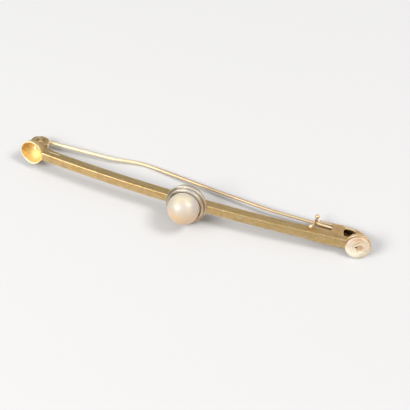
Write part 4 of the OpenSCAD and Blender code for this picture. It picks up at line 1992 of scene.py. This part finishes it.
@dataclass
class SafetyCatch(Maker):
    """The turning barrel that closes over the pin's point, with its thumb post and arm."""

    start: float
    catch_y: float
    barrel_r: float = 0.42
    collar_r: float = 0.52
    collar_len: float = 0.8
    barrel_len: float = 2.85
    cap: float = 0.15
    bore_r: float = 0.31
    journal_r: float = 0.32
    journal_len: float = 0.9
    post_h: float = 1.5
    post_r: float = 0.23
    knob_r: float = 0.4
    arm_to: Place = (-0.5, -3.3, 1.36)

    def slotted(self, outer: float) -> np.ndarray:
        """Returns the slotted tube's section of that outer radius, open at the back."""
        half = math.asin(self.bore_r / outer)
        out = np.linspace(math.pi / 2 + half, math.pi / 2 + 2 * math.pi - half, 40)
        back = np.linspace(math.pi / 2 + 2 * math.pi - 1.35, math.pi / 2 + 1.35, 30)
        ring = [(math.cos(t) * outer, math.sin(t) * outer) for t in out]
        bore = [(math.cos(t) * self.bore_r, math.sin(t) * self.bore_r) for t in back]
        return np.array(ring + bore)

    def tube(self) -> bpy.types.Object:
        """Builds the collar, the slotted barrel and the journal.

        Returns:
            The piece.
        """
        shell = Shell("catch_barrel")
        left = self.start - self.collar_len
        end = self.start + self.barrel_len
        stations = [(left, self.collar_r - 0.05), (left + 0.05, self.collar_r),
                    (self.start - 0.05, self.collar_r),
                    (self.start, self.collar_r - 0.05), (self.start + 0.01, self.barrel_r),
                    (end - self.cap, self.barrel_r)]
        rows = []
        for x, outer in stations:
            ring = self.slotted(outer)
            rows.append(np.column_stack([np.full(len(ring), x), ring[:, 1] + self.catch_y, ring[:, 0]]))
        shell.add_grid(np.array(rows))
        stem = [(0.0, 0.0), (self.barrel_r, 0.0), (self.barrel_r, self.cap - 0.04),
                (self.barrel_r - 0.05, self.cap),
                (self.journal_r, self.cap + 0.01), (self.journal_r, self.cap + self.journal_len - 0.03),
                (self.journal_r - 0.05, self.cap + self.journal_len), (0.0, self.cap + self.journal_len)]
        ends = np.array([end - self.cap - 0.01, self.catch_y, 0]), np.array([end + 1, self.catch_y, 0])
        shell.add_turned(stem, 40, *ends)
        return self.make(shell, self.palette.catch_gold_lit, "safety_catch", "safety", sharp=40,
                         dirt=lambda p: 0.8 * smooth_step(self.start - p[:, 0], -0.02, 0.04))

    def thumb(self, tree: bpy.types.NodeTree) -> list[bpy.types.Object]:
        """Builds the thumb post, the thumb arm and the ball on each.

        Args:
            tree: The node tree that repeats a knob.

        Returns:
            The pieces.
        """
        root = np.array([self.start - self.collar_len / 2, self.catch_y, 0.0])
        tops = [root + np.array([0, 0, self.post_h]), root + np.array(self.arm_to)]
        rods = Shell("thumb_rods")
        for top in tops:
            length = float(np.linalg.norm(top - root))
            way = (top - root) / length
            start = root + way * (self.bore_r + 0.06)
            run = length - self.bore_r - 0.06
            profile = [(0, 0), (self.post_r * 1.5, 0), (self.post_r * 1.4, 0.12), (self.post_r * 1.08, 0.3),
                       (self.post_r, 0.5), (self.post_r, run - 0.1), (0, run)]
            rods.add_turned(profile, 28, start, top)
        material = self.palette.of(self.palette.catch_gold_lit)
        # Dirt and painted shade towards the root, where the rods meet the barrel.
        root_dirt_and_shade = lambda p: 0.95 * smooth_step(1.3 - np.linalg.norm(p - root, axis=1), 0, 0.5)
        made = self.make(rods, self.palette.catch_gold_lit, "safety_catch", "safety", dirt=root_dirt_and_shade)
        ball = [(self.knob_r * math.sin(t), -self.knob_r * math.cos(t) * 0.96)
                for t in np.linspace(0, math.pi, 24)]
        balls = knobs("thumb_balls", ball, self.axes, tree, material,
                      [(tuple(tops[0]), (1.0, 0, 0)), (tuple(tops[1]), (1.0, 0, 0))], [1.0, 0.95])
        return [made, finish_piece(balls, "safety", "safety_catch")]


# Camera, light and floor


@dataclass
class Studio:
    """The pale floor, the soft lights and the camera at the photograph's place."""

    axes: BroochAxes
    view_azimuth: float = 12.63
    view_elevation: float = 34.32
    view_roll: float = 8.91
    distance: float = 180.0
    pixels_per_mm: float = 5.701
    picture: float = 410.0
    origin_pixel: Pair = (186.2, 203.8)
    sensor: float = 36.0
    floor_size: float = 3.0

    def camera(self) -> bpy.types.Object:
        """Places the camera by its angles in the brooch's own axes.

        Returns:
            The camera.
        """
        azimuth, elevation = math.radians(self.view_azimuth), math.radians(self.view_elevation)
        roll = math.radians(self.view_roll)
        back = Vector((math.sin(azimuth) * math.cos(elevation), -math.cos(azimuth) * math.cos(elevation),
                       math.sin(elevation)))
        level = Vector((math.cos(azimuth), math.sin(azimuth), 0))
        over = back.cross(level)
        right = level * math.cos(roll) + over * math.sin(roll)
        up = back.cross(right)
        turn = Matrix((right, up, back)).transposed().to_4x4()
        lens = bpy.data.cameras.new("camera")
        focal_pixels = self.pixels_per_mm * self.distance
        lens.sensor_width = self.sensor
        lens.lens = focal_pixels / self.picture * self.sensor
        lens.shift_x = (self.picture / 2 - self.origin_pixel[0]) / self.picture
        lens.shift_y = (self.origin_pixel[1] - self.picture / 2) / self.picture
        lens.clip_start = 0.005
        lens.clip_end = 20
        camera = put_in_scene("camera", lens)
        camera.matrix_world = self.axes.matrix() @ Matrix.Translation(back * self.distance * MM) @ turn
        bpy.context.scene.camera = camera
        return camera

    def floor(self) -> bpy.types.Object:
        """Lays the floor.

        Returns:
            The floor.
        """
        half = self.floor_size / 2
        mesh = bpy.data.meshes.new("floor")
        corners = [(-half, -half, 0), (half, -half, 0), (half, half, 0), (-half, half, 0)]
        mesh.from_pydata(corners, [], [(0, 1, 2, 3)])
        mesh.materials.append(PaperFinish().material())
        floor = put_in_scene("floor", mesh)
        return floor

    def softbox(self, name: str, way: Place, distance: float, size: Pair,
                power: float, colour: Colour) -> bpy.types.Object:
        """Hangs a soft light that faces the brooch.

        Args:
            name: Its name.
            way: Direction from the brooch to it.
            distance: How far away it is, in metres.
            size: Its width and height, in metres.
            power: Its power, in watts.
            colour: Its colour.

        Returns:
            The light.
        """
        lamp = bpy.data.lights.new(name, "AREA")
        lamp.shape = "RECTANGLE"
        lamp.size, lamp.size_y = size
        lamp.energy = power
        lamp.color = colour
        light = put_in_scene(name, lamp)
        way_out = Vector(way).normalized()
        light.location = way_out * distance
        light.rotation_euler = way_out.to_track_quat("Z", "Y").to_euler()
        return light

    def room(self) -> None:
        """Fills the room with even light, brighter overhead than at the horizon."""
        world = bpy.data.worlds.new("room")
        bpy.context.scene.world = world
        world.use_nodes = True
        bench = Bench(world.node_tree)
        shader = next(n for n in world.node_tree.nodes if n.type == "BACKGROUND")
        way = bench.node("ShaderNodeTexCoord").outputs["Generated"]
        split = bench.node("ShaderNodeSeparateXYZ")
        bench.feed(split.inputs[0], way)
        height = bench.spread(split.outputs["Z"], 0.0, 0.9)
        bench.feed(shader.inputs["Color"], bench.mix(height, (0.30, 0.30, 0.31), (0.72, 0.72, 0.74)))
        shader.inputs["Strength"].default_value = 1.0

    def build(self) -> None:
        """Sets up the whole studio."""
        self.floor()
        self.camera()
        self.room()
        self.softbox("window", (-0.52, -0.50, 0.66), 0.55, (0.30, 0.22), 2.6, (1.0, 0.99, 0.97))
        self.softbox("lamp", (0.56, 0.14, 0.82), 0.6, (0.2, 0.2), 2.2, (1.0, 0.98, 0.95))
        scene = bpy.context.scene
        scene.view_settings.view_transform = "Standard"
        scene.view_settings.look = "None"


@dataclass
class Brooch:
    """The whole brooch, from the sizes that its pieces share."""

    arch: Arch = field(default_factory=Arch)
    bowl: Bowl = field(default_factory=Bowl)
    stock: BarStock = field(default_factory=BarStock)
    rivet_in: float = 0.15
    rivet_depth: float = 3.55
    plate_in: float = 7.63
    catch_depth: float = 4.14
    barrel_lap: float = 0.07

    def build(self) -> BroochAxes:
        """Builds every piece.

        Returns:
            The brooch's axes.
        """
        rivet_x = -self.arch.half + self.rivet_in
        rivet = (rivet_x, self.arch.front(rivet_x) + self.rivet_depth)
        plate_x = self.arch.half - self.plate_in
        catch_y = self.arch.front(plate_x) + self.catch_depth
        axes = BroochAxes.from_frame(rivet)
        palette = Palette()
        wire, knob = wire_tree(), knob_tree()
        shared = (axes, palette, self.arch, self.bowl, self.stock)
        FoldedBar(*shared).build()
        for side in Side:
            EndCup(*shared, side).build()
        HingeEars(*shared, rivet).build()
        CatchPlates(*shared, plate_x).build()
        CentreSetting(axes, palette).build()
        WornPearl(*shared).build()
        Rivet(axes, palette, rivet).build(knob)
        pin = PinStem(axes, palette, rivet, catch_y, plate_x)
        pin.wire(wire)
        pin.knuckle()
        catch = SafetyCatch(axes, palette, plate_x - self.barrel_lap, catch_y)
        catch.tube()
        catch.thumb(knob)
        return axes


def main() -> None:
    """Builds the brooch and its studio in order."""
    logging.basicConfig(level=logging.INFO, format="%(name)s: %(message)s")
    axes = Brooch().build()
    Studio(axes).build()


if __name__ == "__main__":
    main()
